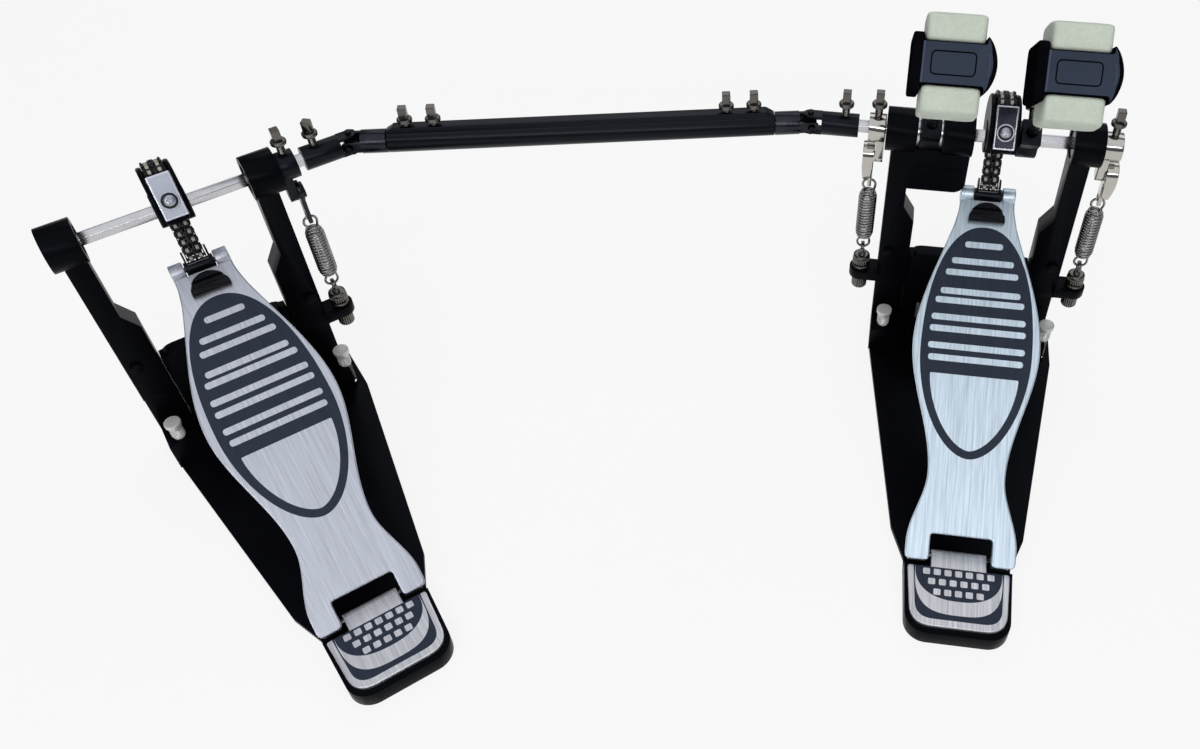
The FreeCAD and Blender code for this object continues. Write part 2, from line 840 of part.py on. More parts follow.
def chain_run():
    """Straight chain from the tangent pin, round which its first link turns, down to the clip."""
    start = cam_point(tangent_angle(), cam_r)
    along = (toe_point() - start) / run_links
    points = [start + along * k for k in range(run_links)]
    pieces = [sided_bar(points[1] - RIGHT * chain_half, RIGHT, chain_pin_r, 2 * chain_half, roller_sides)]
    for k in range(1, len(points)):
        pieces += rollers(points[k])
        pieces += chain_link(points[k - 1], points[k], k % 2 == 1, plate_space if k == 1 else 0)
    hole = cross_bar(-2 * chain_half, 2 * chain_half, start.y, start.z, chain_pin_r + run_clear)
    return fuse(*pieces).cut(hole)


def chain_clip():
    """Barrel on the toe pin with two cheeks beside the chain's last link."""
    toe = toe_point()
    along = (cam_point(tangent_angle(), cam_r) - toe).normalize()
    across = RIGHT.cross(along)
    width = toe_slot_half - side_play
    barrel = cross_bar(-width, width, toe.y, toe.z, clip_barrel_r)
    cheeks = []
    inner = chain_half + clip_space
    for side in (-1, 1):
        left = min(side * inner, side * (inner + clip_plate_thick))
        shoulder = clip_plate_reach - clip_plate_half
        base_points = [toe + along * a + across * b + RIGHT * left for a, b in (
            (0, -clip_plate_half), (shoulder, -clip_plate_half), (clip_plate_reach, 0),
            (shoulder, clip_plate_half), (0, clip_plate_half))]
        cheeks.append(prism(base_points, RIGHT * clip_plate_thick))
    slot_half = plate_half_height + clip_slot_room
    low = chain_pitch - plate_half_height - clip_slot_room
    slot_points = [toe + along * a + across * b + RIGHT * -inner for a, b in (
        (low, -slot_half), (clip_plate_reach, -slot_half), (clip_plate_reach, slot_half), (low, slot_half))]
    slot = prism(slot_points, RIGHT * (2 * inner))
    bore = cross_bar(-2 * width, 2 * width, toe.y, toe.z, toe_pin_r + run_clear)
    return fuse(barrel.cut(slot), *cheeks).cut(bore)


# Cam and chain plate


def plate_frame():
    """Directions square to and along the chain plate, which follows the end of the wrapped chain."""
    turn = math.radians(tangent_angle() + wrap_links * 360 / cam_pitches + plate_lead_angle)
    out = Vec(0, math.cos(turn), math.sin(turn))
    return out, out.cross(RIGHT)


def plate_box(half, low, high, inner, outer):
    out, rise = plate_frame()
    corners = [shaft_mid + lobe_shift() + rise * a + out * b + RIGHT * -half
               for a, b in ((low, inner), (high, inner), (high, outer), (low, outer))]
    return prism(corners, RIGHT * (2 * half))


def plate_under():
    return cam_r + plate_half_height + chain_plate_lift


def cam():
    """Chain cam: a lobe of a many-sided core and two round cheeks, cut off below the hub, with a seat."""
    middle = shaft_mid + lobe_shift()
    core_r = cam_r - (plate_half_height + plate_space) / math.cos(math.pi / cam_pitches)
    core = sided_bar(middle - RIGHT * cam_inner_half, RIGHT, core_r, 2 * cam_inner_half, cam_pitches)
    pieces = [plate_box(seat_half, -seat_down, seat_up, hex_flats, plate_under())]
    for side in (-1, 1):
        low, high = sorted((side * cam_inner_half, side * cam_outer_half))
        pieces.append(cross_bar(low, high, middle.y, middle.z, cam_flange_r))
    ends = cam_outer_half + cut_over
    reach = 2 * cam_flange_r
    cut_top = shaft_z - cam_cut_drop
    below = box(-ends, ends, shaft_y - reach, shaft_y + reach, cut_top - reach, cut_top)
    lobe = fuse(core, *pieces).cut(turned(below, shaft_mid, RIGHT, -cam_cut_angle))
    hub = cross_bar(-cam_outer_half, cam_outer_half, shaft_y, shaft_z, cam_hub_r)
    return fuse(lobe, hub).cut(hex_hole(-ends, ends))


def chain_plate():
    return plate_box(chain_plate_half, -chain_plate_down, chain_plate_up, plate_under() + run_clear,
                     plate_under() + chain_plate_thick)


def plate_screw():
    out, rise = plate_frame()
    drop = (chain_plate_up + chain_plate_down) * plate_screw_share
    top = shaft_mid + lobe_shift() + rise * chain_plate_up
    seat = top + out * (plate_under() + chain_plate_thick + run_clear) - rise * drop
    return fuse(sided_bar(seat, out, plate_washer_r, plate_washer_thick, washer_sides),
                sided_bar(seat, out, plate_screw_r, plate_washer_thick + plate_screw_head))


# Rockers, stirrups and springs


def rocker_span(side):
    face = (left_outer if side < 0 else right_outer) + side * side_play
    return face, face + side * rocker_width


def rocker(side):
    """Clamp on the shaft's end with an arm that hangs down and carries the stirrup's stud."""
    face, outer = rocker_span(side)
    low, high = sorted((face, outer))
    ring = cross_bar(low, high, shaft_y, shaft_z, rocker_r)
    stud_mid = Vec(face, shaft_y, shaft_z - rocker_reach)
    way = RIGHT * side
    arm_low, arm_high = sorted((face, face + side * rocker_arm_thick))
    arm = box(arm_low, arm_high, shaft_y - rocker_arm_half, shaft_y + rocker_arm_half, stud_mid.z, shaft_z)
    end = sided_bar(stud_mid, way, rocker_arm_half, rocker_arm_thick, washer_sides)
    stud_len = rocker_arm_thick + stirrup_thick + 2 * stirrup_room
    stud = sided_bar(stud_mid, way, stud_r, stud_len)
    head = sided_bar(stud_mid + way * stud_len, way, stud_head_r, stud_head_thick)
    return fuse(ring, arm, end, stud, head).cut(hex_hole(low - cut_over, high + cut_over))


def rocker_bolt_seat(side):
    face, outer = rocker_span(side)
    return Vec((face + outer) / 2, shaft_y, shaft_z + rocker_r)


def rocker_bolt(side):
    return key_bolt(rocker_bolt_seat(side), UP)


def stirrup(side):
    """Flat link between the rocker's stud and the spring's upper hook."""
    x = spring_x(side)
    low, high = x - stirrup_thick / 2, x + stirrup_thick / 2
    top = Vec(low - cut_over, shaft_y, shaft_z - rocker_reach)
    end = top - UP * stirrup_drop
    eye = cross_bar(low, high, shaft_y, top.z, stirrup_eye_r)
    strap = box(low, high, shaft_y - stirrup_half, shaft_y + stirrup_half, end.z - eye_ring_r, top.z)
    through = stirrup_thick + 2 * cut_over
    solid = fuse(eye, strap).cut(sided_hole(top, RIGHT, stirrup_eye_hole_r, through))
    return solid.cut(sided_hole(end, RIGHT, eye_hole_r, through))


def spring_radius(turn):
    """Radius of the coil: drawn in at both ends and full in the middle."""
    share = min(1, min(turn, spring_turns - turn) / spring_taper_turns)
    return spring_end_r + (spring_r - spring_end_r) * (1 - (1 - share) ** 2)


def coil_point(turn, low_z, high_z):
    angle = 2 * math.pi * turn
    radius = spring_radius(turn)
    rise = (high_z - low_z) * turn / spring_turns
    return Vec(radius * math.cos(angle), radius * math.sin(angle), low_z + rise)


def coil_direction(turn, low_z, high_z):
    angle = 2 * math.pi * turn
    around = 2 * math.pi * spring_radius(turn)
    rise = (high_z - low_z) / spring_turns
    share = min(turn, spring_turns - turn) / spring_taper_turns
    growth = 0
    if share < 1:
        growth = 2 * (spring_r - spring_end_r) * (1 - share) / spring_taper_turns
        growth = growth if turn < spring_turns / 2 else -growth
    return Vec(growth * math.cos(angle) - around * math.sin(angle),
               growth * math.sin(angle) + around * math.cos(angle), rise).normalize()


def tangent_arc(start, corner, end):
    """Arc that leaves start towards corner and arrives at end from it."""
    middle = (start + end) / 2
    weight = (middle - start).Length / (corner - start).Length
    return Part.Arc(start, (middle + corner * weight) / (1 + weight), end).toShape()


def biarc(start, start_way, end, end_way):
    """Two arcs that join two points with given directions, as equal tangent runs."""
    chord = end - start
    both = start_way + end_way
    bend = 2 * (1 - start_way.dot(end_way))
    lean = chord.dot(both)
    run = chord.dot(chord) / (lean + math.sqrt(lean * lean + bend * chord.dot(chord)))
    first = start + start_way * run
    second = end - end_way * run
    joint = (first + second) / 2
    return [tangent_arc(start, first, joint), tangent_arc(joint, second, end)]


def hook_points(centre, up):
    """Five points of a hook: its entry, its top, its far side and a short tail, in the plane of X and Z."""
    tail = math.radians(spring_tail_angle)
    rise = UP * (up * spring_hook_r)
    entry = RIGHT * spring_hook_r
    return [centre + entry, centre + rise, centre - entry,
            centre - entry * math.cos(tail / 2) - rise * math.sin(tail / 2),
            centre - entry * math.cos(tail) - rise * math.sin(tail)]


def two_arcs(points):
    return [Part.Arc(*points[:3]).toShape(), Part.Arc(*points[2:]).toShape()]


def spring_path(side):
    """Hooked barrel spring as one chain of arcs, from the lower hook's tail to the upper hook's tail."""
    seat = eye_hole_r - spring_wire / 2 - spring_seat_gap
    top_hook = shaft_z - rocker_reach - stirrup_drop - seat - spring_hook_r
    low_hook = eye_z + seat + spring_hook_r
    low_z = low_hook + spring_neck
    high_z = top_hook - spring_neck
    low_points = hook_points(Vec(0, 0, low_hook), -1)
    top_points = hook_points(Vec(0, 0, top_hook), 1)
    edges = two_arcs(low_points[::-1])
    edges += biarc(low_points[0], UP, coil_point(0, low_z, high_z), coil_direction(0, low_z, high_z))
    for k in range(2 * spring_turns):
        a, b = k / 2, (k + 1) / 2
        edges += biarc(coil_point(a, low_z, high_z), coil_direction(a, low_z, high_z),
                       coil_point(b, low_z, high_z), coil_direction(b, low_z, high_z))
    last = coil_point(spring_turns, low_z, high_z)
    edges += biarc(last, coil_direction(spring_turns, low_z, high_z), top_points[0], UP)
    edges += two_arcs(top_points)
    wire = Part.Wire(edges)
    wire.translate(Vec(spring_x(side), shaft_y, 0))
    return wire


def least_gap(path):
    """Smallest space between the wire and itself, measured on points along the path."""
    points = path.discretize(spring_check_steps * spring_turns)
    lengths = [0]
    for k in range(1, len(points)):
        lengths.append(lengths[-1] + (points[k] - points[k - 1]).Length)
    apart = math.pi * spring_end_r
    least = spring_r
    for i, point in enumerate(points):
        for k in range(i + 1, len(points)):
            if lengths[k] - lengths[i] > apart:
                least = min(least, (points[k] - point).Length - spring_wire)
    return least


def spring(side):
    path = spring_path(side)
    edge = path.OrderedEdges[0]
    start = path.OrderedVertexes[0].Point
    first = edge.FirstParameter
    if (edge.valueAt(first) - start).Length > run_clear:
        first = edge.LastParameter
    way = edge.tangentAt(first)
    across = way.cross(AHEAD).normalize()
    other = way.cross(across)
    corners = [start + across * a + other * b for a, b in ring_points(spring_wire / 2, wire_sides, 0)]
    profile = Part.Wire(Part.makePolygon(corners + corners[:1]).Edges)
    return path.makePipeShell([profile], True, False), least_gap(path)


# Beaters


def beater_hub(x):
    """Clamp on the shaft with a neck for the beater's rod."""
    low, high = x - hub_width / 2, x + hub_width / 2
    ring = cross_bar(low, high, shaft_y, shaft_z, hub_r)
    neck = box(low, high, shaft_y - hub_r * math.cos(math.pi / 4), shaft_y + hub_r * math.cos(math.pi / 4),
               shaft_z, shaft_z + hub_top)
    socket = round_bar(Vec(x, shaft_y, shaft_z + rod_from), UP, rod_r + run_clear, hub_top)
    solid = lean_back(fuse(ring, neck).cut(socket))
    return solid.cut(hex_hole(low - cut_over, high + cut_over))


def beater_rod(x):
    length = head_mid - head_height / 2 + rod_depth_in_head - rod_from
    return lean_back(round_bar(Vec(x, shaft_y, shaft_z + rod_from), UP, rod_r, length))


def lay_head(shape, x):
    """Head pieces are set back a little from the rod's direction."""
    return turned(shape, Vec(x, shaft_y, shaft_z + head_mid), RIGHT, head_tilt_angle)


def beater_head(x):
    """Four-sided head: a flat slab, a domed side and a waist between them for the two felts."""
    low_z = shaft_z + head_mid - head_height / 2
    left = x - head_width / 2
    slab = box(left, left + head_slab, shaft_y - head_slab_depth / 2, shaft_y + head_slab_depth / 2,
               low_z, low_z + head_height)
    slab = slab.makeFillet(head_edge, [e for e in slab.Edges if abs(e.Vertexes[0].X - left) < run_clear
                                       and abs(e.Vertexes[-1].X - left) < run_clear])
    right = x + head_width / 2
    rim_x = right - head_dome
    waist = box(left + head_slab, rim_x, shaft_y - head_web_depth / 2, shaft_y + head_web_depth / 2,
                low_z, low_z + head_height)
    rim = [Vec(rim_x, shaft_y - head_dome_depth / 2, low_z), Vec(rim_x, shaft_y + head_dome_depth / 2, low_z)]
    arc = Part.Arc(rim[1], Vec(right, shaft_y, low_z), rim[0]).toShape()
    dome = Part.Face(Part.Wire([Part.makeLine(rim[0], rim[1]), arc])).extrude(UP * head_height)
    solid = fuse(slab, waist, dome)
    panel_mid = (left + head_slab + rim_x) / 2
    panel = box(panel_mid - head_panel_half, panel_mid + head_panel_half, shaft_y - head_panel_depth_half,
                shaft_y + head_panel_depth_half, low_z + head_height - head_panel_sink,
                low_z + head_height + cut_over)
    hole = sided_hole(Vec(x, shaft_y, low_z - cut_over), UP, rod_r + run_clear,
                      rod_depth_in_head + 2 * cut_over)
    return lean_back(lay_head(solid.cut(panel), x).cut(hole))


def beater_felts(x):
    """Two felt blocks that sit in the waist, crowned on their striking faces."""
    low_z = shaft_z + head_mid - felt_height / 2
    mid = x - head_width / 2 + head_slab + (head_width - head_slab - head_dome) / 2
    felts = []
    for side in (-1, 1):
        back = shaft_y + side * (head_web_depth / 2)
        front = back + side * felt_depth
        low, high = sorted((back, front))
        block = box(mid - felt_width / 2, mid + felt_width / 2, low, high, low_z, low_z + felt_height)
        sagitta_r = (felt_height ** 2 / 4 + felt_crown ** 2) / (2 * felt_crown)
        centre_y = front - side * sagitta_r
        crown = cross_bar(mid - felt_width, mid + felt_width, centre_y, shaft_z + head_mid, sagitta_r)
        felt = block.common(crown)
        edges = [e for e in felt.Edges if abs(e.CenterOfMass.y - front) < felt_crown]
        felts.append(lean_back(lay_head(felt.makeChamfer(felt_edge, edges), x)))
    return felts


def hub_bolt_seat(x):
    """Place on the hub's drum side where the rod's clamp bolt stands, before the beater leans."""
    return Vec(x, shaft_y + hub_r * math.cos(math.pi / 4), shaft_z + hub_r + bolt_collar_r)


def hub_bolt(x):
    return lean_back(key_bolt(hub_bolt_seat(x), AHEAD))


# Drive shaft, built along X from the origin and then laid on its axis


def fork_arms(way, upright):
    """Two arms from a sleeve towards the joint's centre, above and below or at the two sides."""
    tip = -way * fork_end
    outline = [(way * fork_crotch, -fork_arm_half), (tip / 2, -fork_arm_half), (tip, -fork_arm_half / 2),
               (tip, fork_arm_half / 2), (tip / 2, fork_arm_half), (way * fork_crotch, fork_arm_half)]
    arms = []
    for side in (-1, 1):
        low = min(side * fork_arm_in, side * fork_arm_out)
        if upright:
            corners = [Vec(x, y, low) for x, y in outline]
            arms.append(prism(corners, UP * (fork_arm_out - fork_arm_in)))
        else:
            corners = [Vec(x, low, z) for x, z in outline]
            arms.append(prism(corners, AHEAD * (fork_arm_out - fork_arm_in)))
    return arms


def joint_fork(way, stem_turn):
    """Sleeve fork on the hexagonal shaft with upright arms, and the cross that its arms hold."""
    low, high = sorted((way * fork_crotch, way * (fork_crotch + fork_sleeve)))
    sleeve = round_bar(Vec(low, 0, 0), RIGHT, fork_r, high - low)
    low, high = sorted((way * (fork_crotch + fork_sleeve - fork_grip),
                        way * (fork_crotch + fork_sleeve + cut_over)))
    corners = [Vec(low, y, z) for y, z in ring_points((hex_flats + 2 * run_clear) / math.sqrt(3), 6, 90)]
    block = box(-cross_half, cross_half, -cross_half, cross_half, -cross_half, cross_half)
    upright = sided_bar(UP * -cross_pin_reach, UP, cross_pin_r, 2 * cross_pin_reach)
    level = sided_bar(AHEAD * -cross_pin_reach, AHEAD, cross_pin_r, 2 * cross_pin_reach)
    cross = [turned(piece, ORIGIN, UP, stem_turn) for piece in (block, upright, level)]
    return fuse(sleeve.cut(prism(corners, RIGHT * (high - low))), *fork_arms(way, True), *cross)


def fork_bolt(way):
    return key_bolt(Vec(way * (fork_crotch + fork_sleeve - fork_grip / 2), 0, fork_r), UP)


def joint_stem(way, loose):
    """Stem with level arms towards the joint, a collar and the bar that slides in the tube."""
    low, high = sorted((way * stem_crotch, way * (tube_start - side_play)))
    collar = round_bar(Vec(low, 0, 0), RIGHT, fork_r, high - low)
    low, high = sorted((way * stem_crotch, way * (tube_start + stem_in_tube)))
    bar = round_bar(Vec(low, 0, 0), RIGHT, stem_r, high - low)
    hole = sided_hole(AHEAD * -2 * fork_r, AHEAD, cross_pin_r + loose, 4 * fork_r)
    return fuse(collar, bar, *fork_arms(way, False)).cut(hole)


def drive_tube():
    """Round tube with a rail along its top, whose ends slope, and a bore for the stems."""
    length = drive_span - 2 * tube_start
    start = Vec(tube_start, 0, 0)
    body = round_bar(start, RIGHT, tube_r, length)
    rail_top = tube_r + tube_rail_rise
    rail = [(tube_start, 0), (tube_start, tube_r), (tube_start + tube_rail_slope, rail_top),
            (tube_start + length - tube_rail_slope, rail_top), (tube_start + length, tube_r),
            (tube_start + length, 0)]
    rail = prism([Vec(x, -tube_rail_half, z) for x, z in rail], AHEAD * (2 * tube_rail_half))
    bore = round_bar(start - RIGHT * cut_over, RIGHT, tube_r - tube_wall, length + 2 * cut_over)
    return fuse(body, rail).cut(bore)


def tube_bolts():
    first = tube_start + tube_rail_slope + tube_bolt_in
    places = [first, first + tube_bolt_step]
    places += [drive_span - x for x in places]
    return [key_bolt(Vec(x, 0, tube_r + tube_rail_rise), UP, tube_bolt_neck) for x in places]


# Laying the slave pedal and the drive shaft in the shared frame


main_joint = Vec(main_joint_x, shaft_y, shaft_z)
drive_way = Vec(math.cos(math.radians(drive_yaw)), math.sin(math.radians(drive_yaw)), 0)
slave_way = Vec(math.cos(math.radians(slave_yaw)), math.sin(math.radians(slave_yaw)), 0)
slave_joint = main_joint - drive_way * drive_span
slave_shaft_mid = slave_joint - slave_way * slave_joint_x
slave_origin = Vec(slave_shaft_mid.x + shaft_y * slave_way.y, slave_shaft_mid.y - shaft_y * slave_way.x, 0)


def at_main_joint(shape):
    return moved(shape, main_joint)


def on_drive(shape):
    return moved(turned(shape, ORIGIN, UP, drive_yaw), slave_joint)


def on_slave(shape):
    return moved(turned(shape, ORIGIN, UP, slave_yaw), slave_origin)


def at_slave_joint(shape):
    return on_slave(moved(shape, Vec(slave_joint_x, shaft_y, shaft_z)))


# The nodes, one list of solids for each


def pedal_nodes(name, with_jaw):
    """Pieces that both pedals share."""
    return {
        name + "_base": [base(with_jaw)],
        name + "_heel_plate": [heel_plate()],
        name + "_footboard": [footboard()],
        name + "_toe_stop": [toe_stop()],
        name + "_chain_clip": [chain_clip()],
        name + "_chain_run": [chain_run()],
        name + "_chain_wrap": [chain_wrap()],
        name + "_cam": [cam()],
        name + "_chain_plate": [chain_plate()],
        name + "_right_post": [post(1, name, True)],
        name + "_rocker": [rocker(1)],
        name + "_stirrup": [stirrup(1)],
    }


def beater_nodes(name, x):
    return {
        name + "_beater_hub": [beater_hub(x)],
        name + "_beater_rod": [beater_rod(x)],
        name + "_beater_head": [beater_head(x)],
        name + "_beater_felts": beater_felts(x),
    }


right_spring, right_gap = spring(1)
left_spring, left_gap = spring(-1)
print("least gap of the springs' wire to itself:", round(min(right_gap, left_gap), 2), "mm")

yoke_places = housing_places(-1, "main")
right_places = housing_places(1, "main")
slave_places = housing_places(-1, "slave") + right_places
fork_inner_x = main_joint_x + fork_crotch + fork_sleeve - fork_grip
slave_shaft_end = slave_joint_x - fork_crotch - fork_sleeve + fork_grip

nodes = {}
nodes.update(pedal_nodes("main", True))
nodes.update(beater_nodes("main", main_beater_x))
nodes.update(beater_nodes("second", second_beater_x))
nodes.update({
    "main_yoke_post": [post(-1, "main", True)],
    "main_bearings": [bearing(x) for x in yoke_places + right_places],
    "main_frame_screws": [spur(-1), spur(1), wing_screw()],
    "main_spring_adjusters": [adjuster(1), adjuster(-1)],
    "hoop_clamp_jaw": [hoop_jaw()],
    "main_shaft": [turned_shaft(main_shaft_start, rocker_span(1)[1], yoke_places[1:] + right_places)],
    "main_shaft_bolts": [rocker_bolt(1), hub_bolt(main_beater_x), plate_screw()],
    "main_spring": [right_spring],
    "second_shaft": [turned_shaft(fork_inner_x, second_shaft_end, yoke_places)],
    "second_rocker": [rocker(-1)],
    "second_shaft_bolts": [rocker_bolt(-1), hub_bolt(second_beater_x),
                           at_main_joint(fork_bolt(1))],
    "second_stirrup": [stirrup(-1)],
    "second_spring": [left_spring],
    "second_joint_fork": [at_main_joint(joint_fork(1, drive_yaw))],
    "main_stem": [on_drive(moved(joint_stem(-1, main_cross_loose), RIGHT * drive_span))],
    "drive_tube": [on_drive(drive_tube())],
    "tube_bolts": [on_drive(bolt) for bolt in tube_bolts()],
    "slave_stem": [on_drive(joint_stem(1, slave_cross_loose))],
    "slave_joint_fork": [at_slave_joint(joint_fork(-1, drive_yaw - slave_yaw))],
    "slave_shaft_bolts": [on_slave(rocker_bolt(1)), on_slave(plate_screw()),
                          at_slave_joint(fork_bolt(-1))],
})
slave_nodes = pedal_nodes("slave", False)
slave_nodes.update({
    "slave_left_post": [post(-1, "slave", False)],
    "slave_bearings": [bearing(x) for x in slave_places],
    "slave_spurs": [spur(-1), spur(1)],
    "slave_spring_adjuster": [adjuster(1)],
    "slave_shaft": [turned_shaft(left_outer, slave_shaft_end, slave_places)],
    "slave_spring": [right_spring],
})
for name, solids in slave_nodes.items():
    nodes[name] = [on_slave(solid) for solid in solids]

for name, solids in nodes.items():
    shape = solids[0] if len(solids) == 1 else Part.makeCompound(solids)
    shape.exportStep("parts/" + name + ".step")
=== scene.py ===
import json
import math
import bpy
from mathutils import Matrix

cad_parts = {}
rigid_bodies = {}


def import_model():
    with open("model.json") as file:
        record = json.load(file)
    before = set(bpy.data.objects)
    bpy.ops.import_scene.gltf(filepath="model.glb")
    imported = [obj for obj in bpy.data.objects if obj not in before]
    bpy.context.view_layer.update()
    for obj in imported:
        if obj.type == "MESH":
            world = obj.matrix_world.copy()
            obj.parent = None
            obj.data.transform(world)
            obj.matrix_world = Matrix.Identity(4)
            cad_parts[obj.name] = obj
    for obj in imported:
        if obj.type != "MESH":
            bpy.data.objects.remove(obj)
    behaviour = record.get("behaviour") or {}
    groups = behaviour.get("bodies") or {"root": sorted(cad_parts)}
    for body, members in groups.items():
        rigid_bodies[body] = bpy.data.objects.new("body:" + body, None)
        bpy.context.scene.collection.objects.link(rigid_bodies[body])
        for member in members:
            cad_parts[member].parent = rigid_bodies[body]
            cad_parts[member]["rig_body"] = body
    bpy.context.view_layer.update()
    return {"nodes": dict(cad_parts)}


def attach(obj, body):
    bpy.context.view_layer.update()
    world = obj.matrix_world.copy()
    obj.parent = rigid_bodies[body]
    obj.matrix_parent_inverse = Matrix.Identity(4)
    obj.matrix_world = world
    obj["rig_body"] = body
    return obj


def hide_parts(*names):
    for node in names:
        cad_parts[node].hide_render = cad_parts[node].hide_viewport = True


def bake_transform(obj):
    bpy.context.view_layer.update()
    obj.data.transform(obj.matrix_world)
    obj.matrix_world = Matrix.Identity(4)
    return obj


bl_info = {
    "name": "Double bass drum pedal",
    "version": (1, 0, 0),
    "blender": (4, 5, 0),
    "location": "View3D > Sidebar > Pedal",
    "description": "Visible pieces, finishes and stage of a double bass drum pedal",
    "category": "Object",
}

import bmesh
import bpy
import numpy as np
from mathutils import Matrix, Vector

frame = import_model()
NODES = frame["nodes"]

# Shapes are worked out in millimetres and scaled once, when they become a mesh.
MM = 0.001
# The solids bring plain materials of their own, so the finishes' names start with a word
# that theirs don't have.
LOOK = "finish_"
X_AXIS, Y_AXIS, Z_AXIS = np.eye(3)

# Layout, the same values as in the part's source
SHAFT_Y, SHAFT_Z = 243.0, 215.0
SLAVE_YAW, DRIVE_YAW, DRIVE_SPAN = 42.0, 12.0, 334.0
MAIN_JOINT_X, SLAVE_JOINT_X = -138.0, 127.0
HINGE = np.array([0.0, 13.5, 12.0])
BOARD_ANGLE, BOARD_TOP, BOARD_THICK, BOARD_REACH = 30.0, 13.7, 5.0, 274.3
BEATER_LEAN, HEAD_MID, HEAD_TILT = 41.0, 165.0, 10.0
MAIN_BEATER_X, SECOND_BEATER_X = 19.2, -50.5
RIGHT_SPRING_X, LEFT_SPRING_X = 81.5, -90.5
RIGHT_ROCKER_X, LEFT_ROCKER_X = 79.8, -88.8
CHAIN_PITCH, CAM_PITCHES, WRAP_LINKS, RUN_LINKS = 6.35, 24, 10, 8
TOE_PIN_DROP = 2.5


def rotation(axis, degrees):
    """Unit vectors after a turn about one axis, as rows."""
    return np.array(Matrix.Rotation(math.radians(degrees), 3, Vector(axis))).T


def within(outer, inner):
    """A frame given in another frame: turns multiply, and the origin is carried along."""
    return outer[0] + inner[0] @ outer[1], inner[1] @ outer[1]


def standing(point, direction):
    """Frame at a point whose third axis runs along a direction."""
    way = np.asarray(direction, float) / np.linalg.norm(direction)
    return np.asarray(point, float), np.array(Vector(way).to_track_quat("Z", "Y").to_matrix()).T


def heading(yaw):
    turn = math.radians(yaw)
    return np.array([math.cos(turn), math.sin(turn), 0.0])


def at(x, y, z):
    """Unturned frame at a point."""
    return np.array([x, y, z], float), np.eye(3)


MAIN = at(0, 0, 0)
MAIN_JOINT = np.array([MAIN_JOINT_X, SHAFT_Y, SHAFT_Z])
DRIVE = (MAIN_JOINT - heading(DRIVE_YAW) * DRIVE_SPAN, rotation(Z_AXIS, DRIVE_YAW))
SLAVE_TURN = rotation(Z_AXIS, SLAVE_YAW)
SLAVE = (DRIVE[0] - np.array([SLAVE_JOINT_X, SHAFT_Y, SHAFT_Z]) @ SLAVE_TURN, SLAVE_TURN)
BOARD = (HINGE, rotation(X_AXIS, BOARD_ANGLE))
SHAFT = np.array([0.0, SHAFT_Y, SHAFT_Z])
# Frame on the main shaft whose third axis runs along it
ALONG_SHAFT = (SHAFT, np.array([Y_AXIS, Z_AXIS, X_AXIS]))
LEAN_TURN = rotation(X_AXIS, BEATER_LEAN)
LEAN = (SHAFT - SHAFT @ LEAN_TURN, LEAN_TURN)
HEAD_TURN = rotation(X_AXIS, HEAD_TILT)
PEDALS = {"main": MAIN, "slave": SLAVE}


# Shapes: points in millimetres, faces as lists of point numbers, and one finish number for each face


THREAD_SIDES, WIRE_SIDES, WIRE_END, STRAP_SIDES, STRAP_POWER = 20, 10, 0.55, 28, 0.3
# Share of an edge that a corner's curve may take, and distances below which points count as one
CORNER_SHARE, SAME_POINT, NO_LENGTH = 0.48, 1e-4, 1e-9
SHARPEST_CORNER = 0.4


def shell(grid, caps=True, paint=0):
    """Four-sided faces between neighbouring rows and columns of a grid, closed by a flat cap at each end."""
    rows, columns = grid.shape[:2]
    index = np.arange(rows * columns).reshape(rows, columns)
    ring = np.hstack([index, index[:, :1]])
    corners = [ring[:-1, :-1], ring[:-1, 1:], ring[1:, 1:], ring[1:, :-1]]
    faces = np.stack(corners, axis=-1).reshape(-1, 4).tolist()
    if caps:
        faces += [index[0, ::-1].tolist(), index[-1].tolist()]
    return grid.reshape(-1, 3), faces, [paint] * len(faces)


def join(shapes):
    """Several shapes as one: the point numbers of each are shifted past the shapes before it."""
    starts = np.cumsum([0] + [len(points) for points, faces, paint in shapes])
    faces = [[k + start for k in face] for (p, group, c), start in zip(shapes, starts) for face in group]
    return np.vstack([s[0] for s in shapes]), faces, [c for s in shapes for c in s[2]]


def lay(shape, place):
    """A shape carried from its own frame to the frame that holds it."""
    return place[0] + shape[0] @ place[1], shape[1], shape[2]


def unit(rows):
    return rows / np.linalg.norm(rows, axis=-1, keepdims=True)


def full_turn(steps):
    return np.linspace(0, 2 * np.pi, steps, endpoint=False)


def round_grid(radius, height, angle):
    """Points at a radius and a height for each angle about the third axis."""
    return np.stack(np.broadcast_arrays(radius * np.cos(angle), radius * np.sin(angle), height), axis=-1)


def round_points(turn):
    return np.stack([np.cos(turn), np.sin(turn)], axis=1)


def mirrored(right):
    """A right half and its mirror image as one closed outline."""
    return np.vstack([right, (right * [-1, 1])[::-1]])


def on_side(side, inner, outer):
    """Ends of a stretch on the left or the right, the lower one first."""
    return sorted((side * inner, side * outer))


def rectangle(x0, x1, y0, y1):
    return [(x0, y0), (x1, y0), (x1, y1), (x0, y1)]


def bar_profile(radius, low, high):
    return [(0, low), (radius, low), (radius, high), (0, high)]


def quadratic(t, start, middle, end):
    """Curve that leaves start towards the middle point and arrives at end from it."""
    return (1 - t) ** 2 * start + 2 * t * (1 - t) * middle + t ** 2 * end


def cubic(t, start, start_slope, end, end_slope):
    """Cubic curve with a given value and slope at each end."""
    return ((1 + 2 * t) * (1 - t) ** 2 * start + t * (1 - t) ** 2 * start_slope
            + t ** 2 * (3 - 2 * t) * end + t ** 2 * (t - 1) * end_slope)


